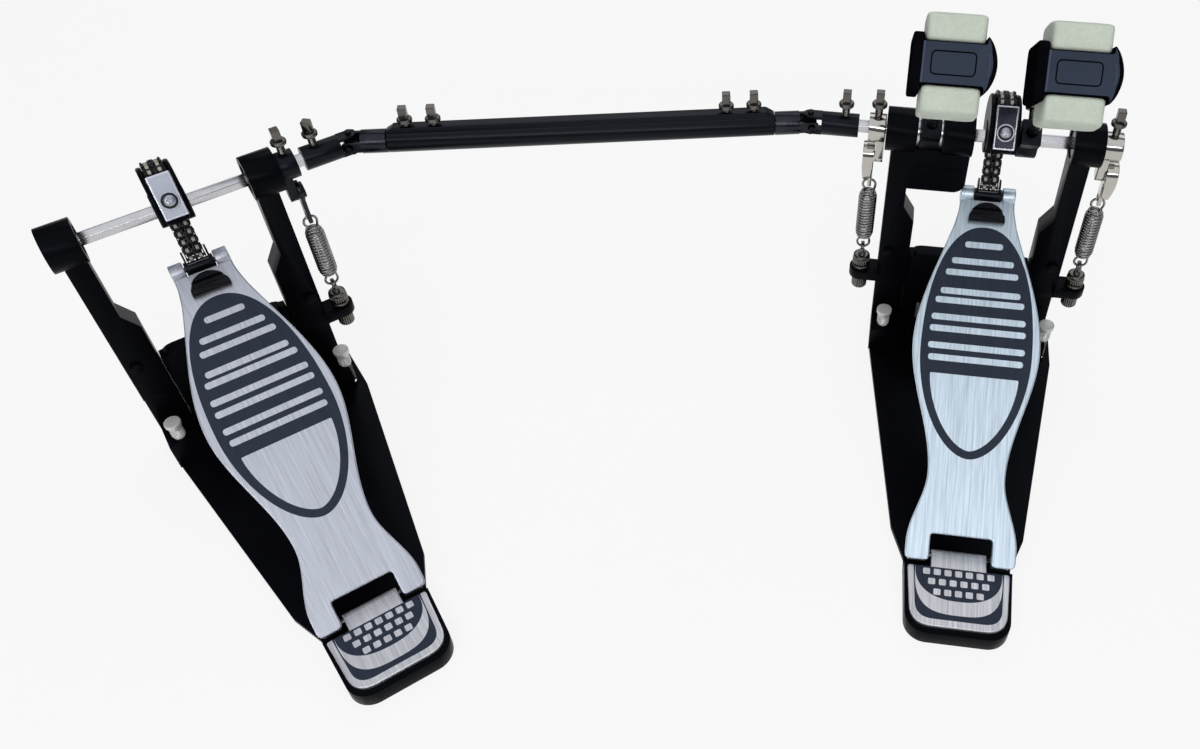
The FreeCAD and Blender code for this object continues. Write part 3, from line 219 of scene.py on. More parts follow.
def eased(points, radius, closed=True, steps=4):
    """Corners replaced by short curves: each starts and ends at most the radius from its corner."""
    points = np.asarray(points, float)
    radius = np.broadcast_to(np.asarray(radius, float), len(points))[:, None]

    def towards(next_points):
        way = next_points - points
        run = np.maximum(np.linalg.norm(way, axis=1, keepdims=True), NO_LENGTH)
        return points + way / run * np.minimum(radius, CORNER_SHARE * run)

    start, end = towards(np.roll(points, 1, 0)), towards(np.roll(points, -1, 0))
    if not closed:
        start[[0, -1]] = end[[0, -1]] = points[[0, -1]]
    t = np.linspace(0, 1, steps)[None, :, None]
    curve = quadratic(t, start[:, None], points[:, None], end[:, None]).reshape(-1, points.shape[1])
    keep = np.linalg.norm(curve - np.roll(curve, 1, 0), axis=1) > SAME_POINT
    if not closed:
        keep[0] = True
    return curve[keep]


def lathe(profile, steps=36, ease=0.0, paint=0, caps=True):
    """A profile of radius and height turned about the third axis."""
    profile = eased(profile, ease, False, 4) if ease else np.asarray(profile, float)
    grid = round_grid(profile[:, :1], profile[:, 1:], full_turn(steps))
    return shell(grid, caps=caps, paint=paint)


def washer(inner, outer, low, high, edge, paint=0):
    """A ring with a round hole and softened rims."""
    profile = [(inner, low), (outer, low), (outer, high), (inner, high), (inner, low)]
    return lathe(profile, ease=edge, paint=paint, caps=False)


def slab(outline, low, high, edge, steps=3, paint=0):
    """An outline raised from low to high; its edges follow a quarter circle drawn in by the edge radius."""
    ring = np.asarray(outline, float)
    edge = np.broadcast_to(np.asarray(edge, float), len(ring))
    ahead = unit(np.roll(ring, -1, 0) - ring)
    back = np.roll(ahead, 1, 0)
    side = np.sign(np.sum(ring[:, 0] * np.roll(ring[:, 1], -1) - ring[:, 1] * np.roll(ring[:, 0], -1)))
    inward = [np.stack([-v[:, 1], v[:, 0]], axis=1) * side for v in (back, ahead)]
    spread = np.maximum(1 + np.sum(inward[0] * inward[1], axis=1, keepdims=True), SHARPEST_CORNER)
    inset = (inward[0] + inward[1]) / spread
    turn = np.linspace(0, np.pi / 2, steps)[:, None]
    drawn, rise = edge * (1 - np.sin(turn)), edge * (1 - np.cos(turn))
    drawn = np.concatenate([drawn, drawn[::-1]])[:, :, None]
    height = np.concatenate([low + rise, (high - rise)[::-1]])[:, :, None]
    return shell(np.concatenate([ring[None] + inset[None] * drawn, height], axis=2), paint=paint)


def block(x0, x1, y0, y1, z0, z1, edge=0.4, paint=0):
    return slab(eased(rectangle(x0, x1, y0, y1), edge), z0, z1, edge, paint=paint)


def rolled(half_in, half_out, y, z, radius, edge=0.4, paint=0):
    """A round bar along the first axis with softened ends."""
    bar = lathe(bar_profile(radius, half_in, half_out), ease=edge, paint=paint)
    return lay(bar, standing((0, y, z), X_AXIS))


def threaded(radius, low, high, pitch, depth, paint=0):
    """A screw thread: the radius rises and falls with height and turn together, as a triangle wave."""
    rows = int((high - low) / pitch * 6) + 2
    height = np.linspace(low, high, rows)[:, None]
    angle = full_turn(THREAD_SIDES)[None]
    wave = np.abs(((height / pitch - angle / (2 * np.pi)) % 1) * 2 - 1)
    ends = np.clip(np.minimum(height - low, high - height) / pitch, 0, 1)
    return shell(round_grid(radius - depth * (1 - wave * ends), height, angle), paint=paint)


def knurled(radius, low, high, ridges, depth, edge):
    """A grip ring: the radius follows a fine wave round the turn and eases in at both rims."""
    angle = full_turn(ridges * 4)[None]
    height = np.array([low, low, low + edge, high - edge, high, high])[:, None]
    inset = np.array([radius * 0.5, edge, 0, 0, edge, radius * 0.5])[:, None]
    ripple = np.array([0, 0.3, 1, 1, 0.3, 0])[:, None] * depth * np.abs(np.sin(angle * ridges / 2))
    return shell(round_grid(radius - inset - ripple, height, angle))


def tube(path, radius, side_hint, paint=0):
    """A round wire: circles square to the path, turned by a hint direction, with rounded ends."""
    way = unit(np.gradient(path, axis=0))
    across = unit(np.cross(way, side_hint))
    over = np.cross(way, across)
    angle = full_turn(WIRE_SIDES)
    circle = across[:, None] * np.cos(angle)[None, :, None] + over[:, None] * np.sin(angle)[None, :, None]
    width = np.full(len(path), radius)
    width[[0, -1]] = radius * WIRE_END
    return shell(path[:, None] + circle * width[:, None, None], paint=paint)


def ribbon(path, width, thick, x):
    """A flat strap bent along a path: a rounded rectangle is carried along, square to the path."""
    way = unit(np.gradient(path, axis=0))
    normal = np.stack([-way[:, 1], way[:, 0]], axis=1)
    turn = full_turn(STRAP_SIDES)
    flat, deep = [np.sign(v) * np.abs(v) ** STRAP_POWER for v in (np.cos(turn), np.sin(turn))]
    bent = path[:, None] + normal[:, None] * (deep * thick / 2)[None, :, None]
    across = x + flat[None] * width[:, None] / 2
    return shell(np.concatenate([across[..., None], bent], axis=2))


def superellipse(half, reach, power, count):
    """Lower half of an oval: half width and depth, with a power above two for fuller shoulders."""
    turn = np.linspace(0, np.pi, count)
    x = np.sign(np.cos(turn)) * np.abs(np.cos(turn)) ** (2 / power) * half
    y = -np.abs(np.sin(turn)) ** (2 / power) * reach
    return np.stack([x, y], axis=1)


# Meshes and objects


# Distances in metres within which points are merged, and the angles of sharp, flat and bevelled edges
MERGE_REACH, SOLID_REACH = 1e-7, 2e-5
SHARP_ANGLE, FLAT_ANGLE, BEVEL_ANGLE = 38, 1, 32


def piece(name, shape, finishes, node=None, stands_for=()):
    """Makes a mesh object at the origin, closes its seams and poles, and lets it ride on a node's body."""
    points, faces, paint = shape
    mesh = bpy.data.meshes.new(name)
    mesh.from_pydata((points * MM).tolist(), [], faces)
    mesh.polygons.foreach_set("material_index", paint)
    close(mesh)
    mesh.set_sharp_from_angle(angle=math.radians(SHARP_ANGLE))
    mesh.polygons.foreach_set("use_smooth", [face.loop_total < 5 for face in mesh.polygons])
    obj = bpy.data.objects.new(name, mesh)
    bpy.context.scene.collection.objects.link(obj)
    for look in finishes:
        mesh.materials.append(bpy.data.materials[LOOK + look])
    if node:
        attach(obj, NODES[node]["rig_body"])
    if stands_for:
        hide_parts(*stands_for)
    return obj


def stand_in(name, shape, finishes, node):
    """Makes a piece that takes a node's place."""
    return piece(name, shape, finishes, node, stands_for=[node])


def close(mesh):
    """Merges points that fall together at seams and poles, and turns the faces outward."""
    work = bmesh.new()
    work.from_mesh(mesh)
    bmesh.ops.remove_doubles(work, verts=work.verts, dist=MERGE_REACH)
    bmesh.ops.recalc_face_normals(work, faces=work.faces)
    work.to_mesh(mesh)
    work.free()


def edged(node, look, width, reshape=None):
    """A copy of a rigid node with softened edges: points are merged, flat faces joined and edges bevelled."""
    mesh = NODES[node].data.copy()
    mesh.name = node + "_edged"
    work = bmesh.new()
    work.from_mesh(mesh)
    bmesh.ops.remove_doubles(work, verts=work.verts, dist=SOLID_REACH)
    bmesh.ops.dissolve_limit(work, angle_limit=math.radians(FLAT_ANGLE), verts=work.verts, edges=work.edges)
    for face in work.faces:
        face.smooth = True
        face.material_index = 0
    work.to_mesh(mesh)
    work.free()
    if reshape:
        points = np.empty(len(mesh.vertices) * 3, np.float32)
        mesh.vertices.foreach_get("co", points)
        mesh.vertices.foreach_set("co", (reshape(points.reshape(-1, 3) / MM) * MM).ravel())
    mesh.materials.clear()
    mesh.materials.append(bpy.data.materials[LOOK + look])
    obj = bpy.data.objects.new(node + "_edged", mesh)
    bpy.context.scene.collection.objects.link(obj)
    bevel = obj.modifiers.new("Edges", "BEVEL")
    bevel.width = width * MM
    bevel.segments = 3
    bevel.limit_method = "ANGLE"
    bevel.angle_limit = math.radians(BEVEL_ANGLE)
    bevel.harden_normals = True
    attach(obj, NODES[node]["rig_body"])
    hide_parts(node)
    return obj


# Finishes


def tint(code):
    """Linear colour from a six-figure colour code."""
    values = np.array([int(code[k:k + 2], 16) for k in (0, 2, 4)]) / 255
    linear = np.where(values <= 0.04045, values / 12.92, ((values + 0.055) / 1.055) ** 2.4)
    return tuple(float(v) for v in linear)


def put(tree, kind, links=None, **settings):
    """Adds a shader node; sockets in the links are joined and other values are set."""
    made = tree.nodes.new(kind)
    for key, value in settings.items():
        setattr(made, key, value)
    for key, value in (links or {}).items():
        if isinstance(value, bpy.types.NodeSocket):
            tree.links.new(value, made.inputs[key])
        else:
            made.inputs[key].default_value = value
    return made


def grain_group():
    """Noise at two scales: the fine one is a height, and both together give a mask of smudges."""
    tree = bpy.data.node_groups.get("Grain")
    if tree:
        return tree
    tree = bpy.data.node_groups.new("Grain", "ShaderNodeTree")
    tree.interface.new_socket("Vector", in_out="INPUT", socket_type="NodeSocketVector")
    for name in ("Fine", "Wide", "Share"):
        tree.interface.new_socket(name, in_out="INPUT", socket_type="NodeSocketFloat")
    for name in ("Height", "Mask"):
        tree.interface.new_socket(name, in_out="OUTPUT", socket_type="NodeSocketFloat")
    given = tree.nodes.new("NodeGroupInput").outputs
    fine = put(tree, "ShaderNodeTexNoise", {"Vector": given["Vector"], "Scale": given["Fine"], "Detail": 3.0})
    wide = put(tree, "ShaderNodeTexNoise", {"Vector": given["Vector"], "Scale": given["Wide"], "Detail": 5.0})
    mixed = put(tree, "ShaderNodeMix", {0: given["Share"], 2: wide.outputs[0], 3: fine.outputs[0]})
    mask = put(tree, "ShaderNodeMapRange", {"Value": mixed.outputs[0], "From Min": 0.32, "From Max": 0.68})
    put(tree, "NodeGroupOutput", {"Height": fine.outputs[0], "Mask": mask.outputs[0]})
    return tree


def finish(name, low, high, rough, fine, wide, share=0.5, bump=0.0, turn=None, stretch=None, **sockets):
    """Material whose colour and roughness follow the grain between two values; the grain also lifts it."""
    material = bpy.data.materials.new(LOOK + name)
    material.use_nodes = True
    tree = material.node_tree
    shader = tree.nodes["Principled BSDF"]
    place = tree.nodes.new("ShaderNodeTexCoord").outputs["Object"]
    if stretch:
        turned = [math.radians(v) for v in turn]
        place = put(tree, "ShaderNodeMapping", {"Vector": place, "Rotation": turned, "Scale": stretch},
                    vector_type="TEXTURE").outputs[0]
    grain = put(tree, "ShaderNodeGroup", node_tree=grain_group())
    tree.links.new(place, grain.inputs["Vector"])
    for key, value in (("Fine", fine), ("Wide", wide), ("Share", share)):
        grain.inputs[key].default_value = value
    mask = grain.outputs["Mask"]
    colour = put(tree, "ShaderNodeMix", {0: mask, 6: (*low, 1.0), 7: (*high, 1.0)}, data_type="RGBA")
    tree.links.new(colour.outputs[2], shader.inputs["Base Color"])
    span = put(tree, "ShaderNodeMapRange", {"Value": mask, "To Min": rough[0], "To Max": rough[1]})
    tree.links.new(span.outputs[0], shader.inputs["Roughness"])
    if bump:
        lift = put(tree, "ShaderNodeBump", {"Height": grain.outputs["Height"], "Distance": bump * MM})
        tree.links.new(lift.outputs[0], shader.inputs["Normal"])
    for key, value in sockets.items():
        shader.inputs[key.replace("_", " ")].default_value = value
    return material


def shade(colour, factor):
    return tuple(min(1.0, c * factor) for c in colour)


def colour_setting(name, description, code):
    return bpy.props.FloatVectorProperty(
        name=name, description=description, subtype="COLOR", default=tint(code))


def length_setting(name, description, value):
    return bpy.props.FloatProperty(name=name, description=description, default=value * MM, unit="LENGTH")


class PedalColours(bpy.types.PropertyGroup):
    """Colours of the pedal's finishes."""

    coat: colour_setting("Black coat", "Gloss coat of the frames", "07070a")
    # The two boards are one brushed aluminium; the main board's lighter, bluer colour is a painted reflection
    # of the sky.
    main_board: colour_setting("Main board", "Brushed board of the main pedal", "dcebf9")
    slave_board: colour_setting("Slave board", "Brushed board of the slave pedal", "c8cbd5")
    heel: colour_setting("Heel plates", "Brushed heel plates", "f4f3fa")
    print_dark: colour_setting("Print", "Dark print on the boards", "2f3644")
    felt: colour_setting("Felt", "Beater felts", "e0e7d5")
    chrome: colour_setting("Chrome", "Plated pieces", "bab7b0")
    shaft: colour_setting("Shafts", "Ground hexagonal shafts", "c9c8cb")
    steel: colour_setting("Steel", "Bolts and adjusters", "65625e")
    plastic: colour_setting("Plastic", "Beater heads", "303746")
    rubber: colour_setting("Rubber", "Toe stops", "101116")


class PedalSizes(bpy.types.PropertyGroup):
    """Sizes of the details that only the visible model has."""

    spring_turns: bpy.props.IntProperty(
        name="Spring turns", description="Turns of each spring", default=17, min=6)
    spring_wire: length_setting("Spring wire", "Radius of the springs' wire", 0.95)
    print_rise: length_setting("Print height", "Step between the layers of the print", 0.05)
    thread_pitch: length_setting("Thread pitch", "Pitch of the screw threads", 1.1)


COOL_GLOSS = {"Specular_Tint": (0.7, 0.8, 1.0, 1.0)}
# Name, colour and its darkest and lightest share, least and greatest roughness, fine and wide grain,
# share of the fine grain, height of the grain, other sockets
COATS = (
    ("black_coat", "coat", 0.7, 1.4, (0.3, 0.4), 1700, 22, 0.3, 0.006,
     {"Specular_IOR_Level": 0.05, **COOL_GLOSS}),
    ("cast_coat", "coat", 0.7, 1.4, (0.26, 0.36), 1700, 22, 0.3, 0.006,
     {"Specular_IOR_Level": 0.2, **COOL_GLOSS}),
    ("head_plastic", "plastic", 0.85, 1.2, (0.34, 0.42), 2600, 40, 0.4, 0.02,
     {"Specular_IOR_Level": 0.2, **COOL_GLOSS}),
    # head_rim is painted shade: a darker copy of the black, laid where shade falls on the heads' sides, side
    # plates and raised outline.
    ("head_rim", "coat", 1.2, 2.2, (0.5, 0.6), 2600, 40, 0.4, 0.01, {"Specular_IOR_Level": 0.0}),
    # head_edge is a painted highlight: a lighter copy of the heads' plastic on the strip by the side plate
    # and the line beside the dome.
    ("head_edge", "plastic", 1.8, 2.4, (0.4, 0.5), 2600, 40, 0.4, 0.01, {"Specular_IOR_Level": 0.3}),
    ("stop_rubber", "rubber", 0.8, 1.4, (0.25, 0.33), 1500, 60, 0.4, 0.0, {"Specular_IOR_Level": 0.15}),
    ("felt", "felt", 0.86, 1.04, (0.9, 1.0), 900, 90, 0.55, 0.35,
     {"Sheen_Weight": 0.1, "Sheen_Roughness": 0.6, "Specular_IOR_Level": 0.1}),
    ("chrome", "chrome", 0.92, 1.05, (0.08, 0.16), 700, 35, 0.5, 0.0, {"Metallic": 1.0}),
    ("shaft_steel", "shaft", 0.85, 1.1, (0.2, 0.28), 2400, 160, 0.5, 0.0,
     {"Metallic": 1.0, "turn": (0, 0, 0), "stretch": (40, 1, 1)}),
    ("steel", "steel", 0.7, 1.25, (0.14, 0.26), 900, 60, 0.5, 0.01, {"Metallic": 1.0}),
)
# Name, darkest and lightest colour, least and greatest roughness, fine and wide grain, height of the grain,
# share of metal
METALS = (
    ("spring_steel", "7c7c7b", "a6a5a2", (0.16, 0.26), 900, 60, 0.0, 1.0),
    ("zinc", "dddcd8", "f0efec", (0.3, 0.42), 900, 60, 0.01, 0.25),
    ("dark_steel", "26272c", "3a3b42", (0.22, 0.34), 900, 60, 0.01, 1.0),
    # main_plate is a painted dark reflection: the main chain plate is painted far darker than the slave's,
    # though both are the same plated metal.
    ("main_plate", "2e2e38", "40404b", (0.2, 0.3), 1600, 90, 0.004, 1.0),
    ("slave_plate", "989da8", "b0b4be", (0.34, 0.44), 1600, 90, 0.004, 1.0),
    ("chain_black", "0b0b0d", "18181c", (0.2, 0.34), 900, 80, 0.01, 0.5),
    # plate_edge is a painted highlight, laid on the edge band of both chain plates.
    ("plate_edge", "bcc0ca", "d6d9e2", (0.2, 0.3), 1600, 90, 0.004, 1.0),
    ("plate_screw", "a0a3ac", "bec1ca", (0.3, 0.4), 900, 60, 0.0, 1.0),
    ("roller", "a39d92", "c4beb2", (0.4, 0.55), 900, 80, 0.01, 0.3),
)
# Darkest share of the brushed grain on each pedal, its lightest share, and how long its strokes are drawn out
BRUSHED_DARK, BRUSHED_LIGHT, BRUSHED_STRETCH = {"main": 0.66, "slave": 0.74}, 1.1, (1, 36, 1)
PRINT_TONES = (0.88, 1.15)
# Roughness, fine and wide grain, share of the fine grain and height of the grain
BRUSHED_GRAIN, PRINT_GRAIN = ((0.38, 0.5), 2200, 820, 0.3, 0.006), ((0.45, 0.58), 1800, 240, 0.4, 0.01)


class PEDAL_OT_finishes(bpy.types.Operator):
    """Makes every finish of the pedal"""

    bl_idname = "pedal.finishes"
    bl_label = "Finishes"

    def execute(self, context):
        c = context.scene.pedal_colours
        for name, colour, low, high, rough, fine, wide, share, bump, more in COATS:
            tone = getattr(c, colour)
            finish(name, shade(tone, low), shade(tone, high), rough, fine, wide, share, bump, **more)
        for name, low, high, rough, fine, wide, bump, metal in METALS:
            finish(name, tint(low), tint(high), rough, fine, wide, 0.5, bump, Metallic=metal)
        print_tones = [shade(c.print_dark, factor) for factor in PRINT_TONES]
        for name, dark in BRUSHED_DARK.items():
            yaw = SLAVE_YAW if name == "slave" else 0.0
            # The main board's lighter, bluer colour is a painted sky reflection.
            board = getattr(c, name + "_board")
            for part, tone, tilt in (("_board", board, BOARD_ANGLE), ("_heel", c.heel, 0.0)):
                way = {"turn": (tilt, 0, yaw), "stretch": BRUSHED_STRETCH}
                finish(name + part + "_brushed", shade(tone, dark), shade(tone, BRUSHED_LIGHT),
                       *BRUSHED_GRAIN, Metallic=1.0, **way)
                finish(name + part + "_print", *print_tones, *PRINT_GRAIN, Specular_IOR_Level=0.15, **way)
        return {"FINISHED"}


# Frames and rigid pieces that keep the solids' shape


EDGED = {
    "black_coat": {
        1.8: ("main_yoke_post", "main_right_post", "slave_left_post", "slave_right_post"),
        1.0: ("hoop_clamp_jaw",),
    },
    "cast_coat": {
        0.9: ("main_beater_hub", "second_beater_hub", "second_joint_fork", "slave_joint_fork", "drive_tube",
              "slave_rocker"),
        0.35: ("main_chain_clip", "slave_chain_clip"),
    },
    "dark_steel": {0.7: ("main_stem", "slave_stem"), 0.5: ("slave_stirrup",)},
    "chrome": {
        0.5: ("main_rocker", "second_rocker", "main_stirrup", "second_stirrup"),
        0.3: ("main_beater_rod", "second_beater_rod"),
    },
}
BASE_EDGE = 1.2
YOKE_LINE = (-57.0, -22.0, SHAFT_Y - 3.0, SHAFT_Z - 31.0, 0.7, 0.3)
BLOCK_LEFT, BLOCK_RIGHT, BLOCK_FRONT, BLOCK_BACK, BLOCK_TOP = -49.0, 40.0, 246.0, 257.0, 101.0
# How far the block is drawn out and down, over which height, and how near a point counts as on a face
BLOCK_SPREAD, BLOCK_DROP, BLOCK_BEND, BLOCK_NEAR, BLOCK_MARGIN = 3.5, 9.0, 16.0, 0.1, 1.0


def spread_block(place):
    """Draws the upright block out to the posts and lowers its top edge, more for a higher point."""

    def reshape(points):
        local = (points - place[0]) @ place[1].T
        x, y, z = local.T
        inside = (y > BLOCK_FRONT - BLOCK_NEAR) & (y < BLOCK_BACK + BLOCK_NEAR)
        inside &= (x > BLOCK_LEFT - BLOCK_MARGIN) & (x < BLOCK_RIGHT + BLOCK_MARGIN)
        right, left = x > BLOCK_RIGHT - BLOCK_NEAR, x < BLOCK_LEFT + BLOCK_NEAR
        out = right * BLOCK_SPREAD - left * BLOCK_SPREAD
        down = np.clip((z - BLOCK_TOP + BLOCK_BEND) / BLOCK_BEND, 0, 1) * BLOCK_DROP
        moved = local + np.stack([out, 0 * out, -down], axis=1) * inside[:, None]
        return place[0] + moved @ place[1]

    return reshape


class PEDAL_OT_frames(bpy.types.Operator):
    """Dresses the bases, posts, hubs, rods, rockers and drive shaft with softened edges"""

    bl_idname = "pedal.frames"
    bl_label = "Frames and drive shaft"

    def execute(self, context):
        for name, widths in EDGED.items():
            for width, nodes in widths.items():
                for node in nodes:
                    edged(node, name, width)
        for name, place in PEDALS.items():
            edged(name + "_base", "black_coat", BASE_EDGE, spread_block(place))
        piece("main_yoke_line", rolled(*YOKE_LINE), ["black_coat"], "main_yoke_post")
        return {"FINISHED"}


# Hexagonal shafts: ends, and the ends of the stretches that are turned round
HEX_CORNER, JOURNAL_R = 5.196, 4.5
SHAFTS = (("main", MAIN, -29.0, 86.0, ((-29.0, -18.4), (50.4, 73.6))),
          ("second", MAIN, -122.5, -31.0, ((-82.6, -59.4), (-41.6, -31.0))),
          ("slave", SLAVE, -82.0, 111.5, ((-82.0, -59.4), (50.4, 73.6))))
SPACERS, SPACER_R = ((-59.8, -57.7), (-43.3, -41.2)), 11.5


def hex_shaft(low, high, journals):
    """Bar with six flats between round journals: each stretch is an outline carried along the shaft."""
    corner = np.radians(np.arange(6) * 60 + 90)
    flats = eased(round_points(corner) * HEX_CORNER, 0.45, steps=3)
    stops = [low] + [x for span in journals for x in span] + [high]
    parts = [slab(flats, a, b, 0.35) for a, b in zip(stops[::2], stops[1::2]) if b - a > 0.5]
    parts += [lathe(bar_profile(JOURNAL_R, a, b), 48) for a, b in journals]
    return lay(join(parts), ALONG_SHAFT)


# Left faces of the housings, and the ring inside each
BEARINGS = (("main", (-82.0, -41.0, 51.0)), ("slave", (-82.0, 51.0)))
BEARING_R, BEARING_FROM, BEARING_TO = 11.0, 1.0, 21.0
# Strap above each spring: its bend about the stud, its foot, and its width from the foot up
STUD_DROP, BAND_R, BAND_THICK, BAND_OUT = 24.0, 8.7, 1.5, 2.7
BAND_FOOT, BAND_PULL = np.array([-2.6, -22.0]), np.array([-BAND_R, -11.0])
BAND_HEIGHTS, BAND_WIDTHS = (-22.0, -6.0), (6.0, 8.5)


def stirrup_band(x, side):
    """Strap bent over the stud: two legs that follow a parabola, joined by a half circle."""
    bend = round_points(np.linspace(np.pi, 0, 17)) * BAND_R
    leg = quadratic(np.linspace(0, 1, 9)[:-1, None], BAND_FOOT, BAND_PULL, bend[:1])
    path = np.vstack([leg, bend, (leg * [-1, 1])[::-1]])
    width = np.interp(path[:, 1], BAND_HEIGHTS, BAND_WIDTHS)
    return ribbon(path + [SHAFT_Y, SHAFT_Z - STUD_DROP], width, BAND_THICK, x + side * BAND_OUT)


class PEDAL_OT_shafts(bpy.types.Operator):
    """Makes the bright hexagonal shafts, their bearings and the bent straps above the springs"""

    bl_idname = "pedal.shafts"
    bl_label = "Shafts"

    def execute(self, context):
        for name, place, low, high, journals in SHAFTS:
            node = name + "_shaft"
            bar = lay(hex_shaft(low, high, journals), place)
            stand_in(node + "_bar", bar, ["shaft_steel"], node)
        rings = join([washer(JOURNAL_R, SPACER_R, a, b, 0.3) for a, b in SPACERS])
        piece("second_shaft_spacers", lay(rings, ALONG_SHAFT), ["shaft_steel"], "second_shaft")
        for name, places in BEARINGS:
            rings = [washer(JOURNAL_R + 0.05, BEARING_R, x + BEARING_FROM, x + BEARING_TO, 0.4)
                     for x in places]
            rings = lay(lay(join(rings), ALONG_SHAFT), PEDALS[name])
            stand_in(name + "_bearing_rings", rings, ["dark_steel"], name + "_bearings")
        for name, x, side in (("main", RIGHT_SPRING_X, 1), ("second", LEFT_SPRING_X, -1)):
            piece(name + "_stirrup_band", stirrup_band(x, side), ["chrome"], name + "_stirrup")
        return {"FINISHED"}


# Footboards, heel plates and their print


# Along the board: the ear, the waist, the widest place and the neck, with the half width at each
BOARD_PLACES = np.array([8.0, 58.3, 155.0, 248.0])
BOARD_HALVES = np.array([39.0, 27.6, 46.5, 23.5])
NECK_ANGLE = 17.0
NOTCH_HALF, NOTCH_END, EAR_END = 22.0, 14.9, -4.5
TOE_HALF, TOE_SHOULDER, SLOT_HALF, SLOT_END = 20.5, 262.0, 10.8, 268.2
HEEL_PIN_HALF, HEEL_PIN_R, TOE_PIN_HALF, TOE_PIN_R, TOE_ROLL_R = 34.0, 2.2, 19.4, 2.0, 6.5
LUG_IN, LUG_OUT, LUG_R = 23.5, 36.0, 4.6
RIB_IN, RIB_OUT, RIB_FROM, RIB_TO, RIB_HEIGHT = 14.0, 18.0, 40.0, 240.0, 6.0


def board_half(along):
    """Half width of the board: smooth curves through the ear, the waist, the widest place and the neck."""
    slope = np.array([0.0, 0.0, 0.0, -math.tan(math.radians(NECK_ANGLE))])
    k = np.clip(np.searchsorted(BOARD_PLACES, along, side="right") - 1, 0, len(BOARD_PLACES) - 2)
    run = BOARD_PLACES[k + 1] - BOARD_PLACES[k]
    t = (along - BOARD_PLACES[k]) / run
    return cubic(t, BOARD_HALVES[k], slope[k] * run, BOARD_HALVES[k + 1], slope[k + 1] * run)


def board_outline():
    along = np.linspace(BOARD_PLACES[0], BOARD_PLACES[-1], 90)
    side = np.stack([board_half(along), along], axis=1)
    heel = [(NOTCH_HALF, NOTCH_END), (NOTCH_HALF, EAR_END), (BOARD_HALVES[0], EAR_END)]
    toe = [(TOE_HALF, TOE_SHOULDER), (TOE_HALF, BOARD_REACH), (SLOT_HALF, BOARD_REACH), (SLOT_HALF, SLOT_END)]
    right = np.vstack([heel, side, toe])
    radius = np.concatenate([[2.5, 3.5, 4.5], np.zeros(len(side)), [5.0, 0.0, 0.0, 0.0]])
    return eased(mirrored(right), np.concatenate([radius, radius[::-1]]))


def footboard():
    """Plate with its lugs, rolled toe and ribs, and the two pins that it carries."""
    under = BOARD_TOP - BOARD_THICK
    toe_z = BOARD_TOP - TOE_PIN_DROP
    parts = [slab(board_outline(), under, BOARD_TOP, 0.9),
             rolled(-HEEL_PIN_HALF, HEEL_PIN_HALF, 0, 0, HEEL_PIN_R, paint=1),
             rolled(-TOE_PIN_HALF, TOE_PIN_HALF, BOARD_REACH, toe_z, TOE_PIN_R, paint=1)]
    for side in (-1, 1):
        low, high = on_side(side, LUG_IN, LUG_OUT)
        parts += [rolled(low, high, 0, 0, LUG_R), block(low, high, -LUG_R / 2, LUG_R, 0, under + 1)]
        low, high = on_side(side, SLOT_HALF, TOE_HALF)
        parts.append(rolled(low, high, BOARD_REACH, toe_z, TOE_ROLL_R, 0.8))
        low, high = on_side(side, RIB_IN, RIB_OUT)
        parts.append(block(low, high, RIB_FROM, RIB_TO, under - RIB_HEIGHT, under + 1, 0.8))
    return join(parts)


RIDGE_R, STOP_MIDDLE, STOP_BACK, BED_START, BED_IN = 13.63, 252.37, 265.95, 250.7, 0.15
RIDGES, RIDGE_LOW, RIDGE_TOP, BED_TOP = ((250.5, 256.9), (260.1, STOP_BACK)), 16.0, 18.7, 17.1


def toe_stop():
    """Half round rubber block: a low bed and two ridges, cut from slightly wider arcs about one middle."""

    def band(radius, start, end):
        along = np.linspace(start, end, 14)
        half = np.sqrt(np.maximum(radius ** 2 - (along - STOP_MIDDLE) ** 2, 0.5))
        return mirrored(np.stack([half, along], axis=1))

    ridges = [slab(band(RIDGE_R, start, end), RIDGE_LOW, RIDGE_TOP, 1.1, 4) for start, end in RIDGES]
    bed = band(RIDGE_R - BED_IN, BED_START, STOP_BACK - BED_IN)
    return join([slab(bed, BOARD_TOP - 0.3, BED_TOP, 0.7)] + ridges)


class PEDAL_OT_footboards(bpy.types.Operator):
    """Makes the brushed footboards and their rubber toe stops"""

    bl_idname = "pedal.footboards"
    bl_label = "Footboards"

    def execute(self, context):
        for name, place in PEDALS.items():
            board = within(place, BOARD)
            stand_in(name + "_footboard_plate", lay(footboard(), board), [name + "_board_brushed", "steel"],
                     name + "_footboard")
            stand_in(name + "_toe_rubber", lay(toe_stop(), board), ["stop_rubber"],
                     name + "_toe_stop")
        return {"FINISHED"}


HEEL_LOW, HEEL_TOP, HEEL_HALF, HEEL_END_HALF, HEEL_FRONT, HEEL_END = 13.0, 16.4, 36.0, 33.0, 1.5, -45.5
HEEL_TAB_HALF, KNUCKLE_R = 19.6, 4.4


def heel_shape():
    """Heel plate that narrows towards its round end, with a tab and the roll round the hinge pin."""
    right = [(HEEL_END_HALF, HEEL_END), (HEEL_HALF, HEEL_FRONT), (HEEL_TAB_HALF, HEEL_FRONT),
             (HEEL_TAB_HALF, HINGE[1])]
    outline = [(-x, y) for x, y in right[::-1]] + right
    radius = [0.2, 0.5, 2.0, 15.0, 15.0, 2.0, 0.5, 0.2]
    plate = slab(eased(outline, radius, steps=9), HEEL_LOW, HEEL_TOP, 0.5)
    return join([plate, rolled(-HEEL_TAB_HALF, HEEL_TAB_HALF, HINGE[1], HINGE[2], KNUCKLE_R, 0.6)])


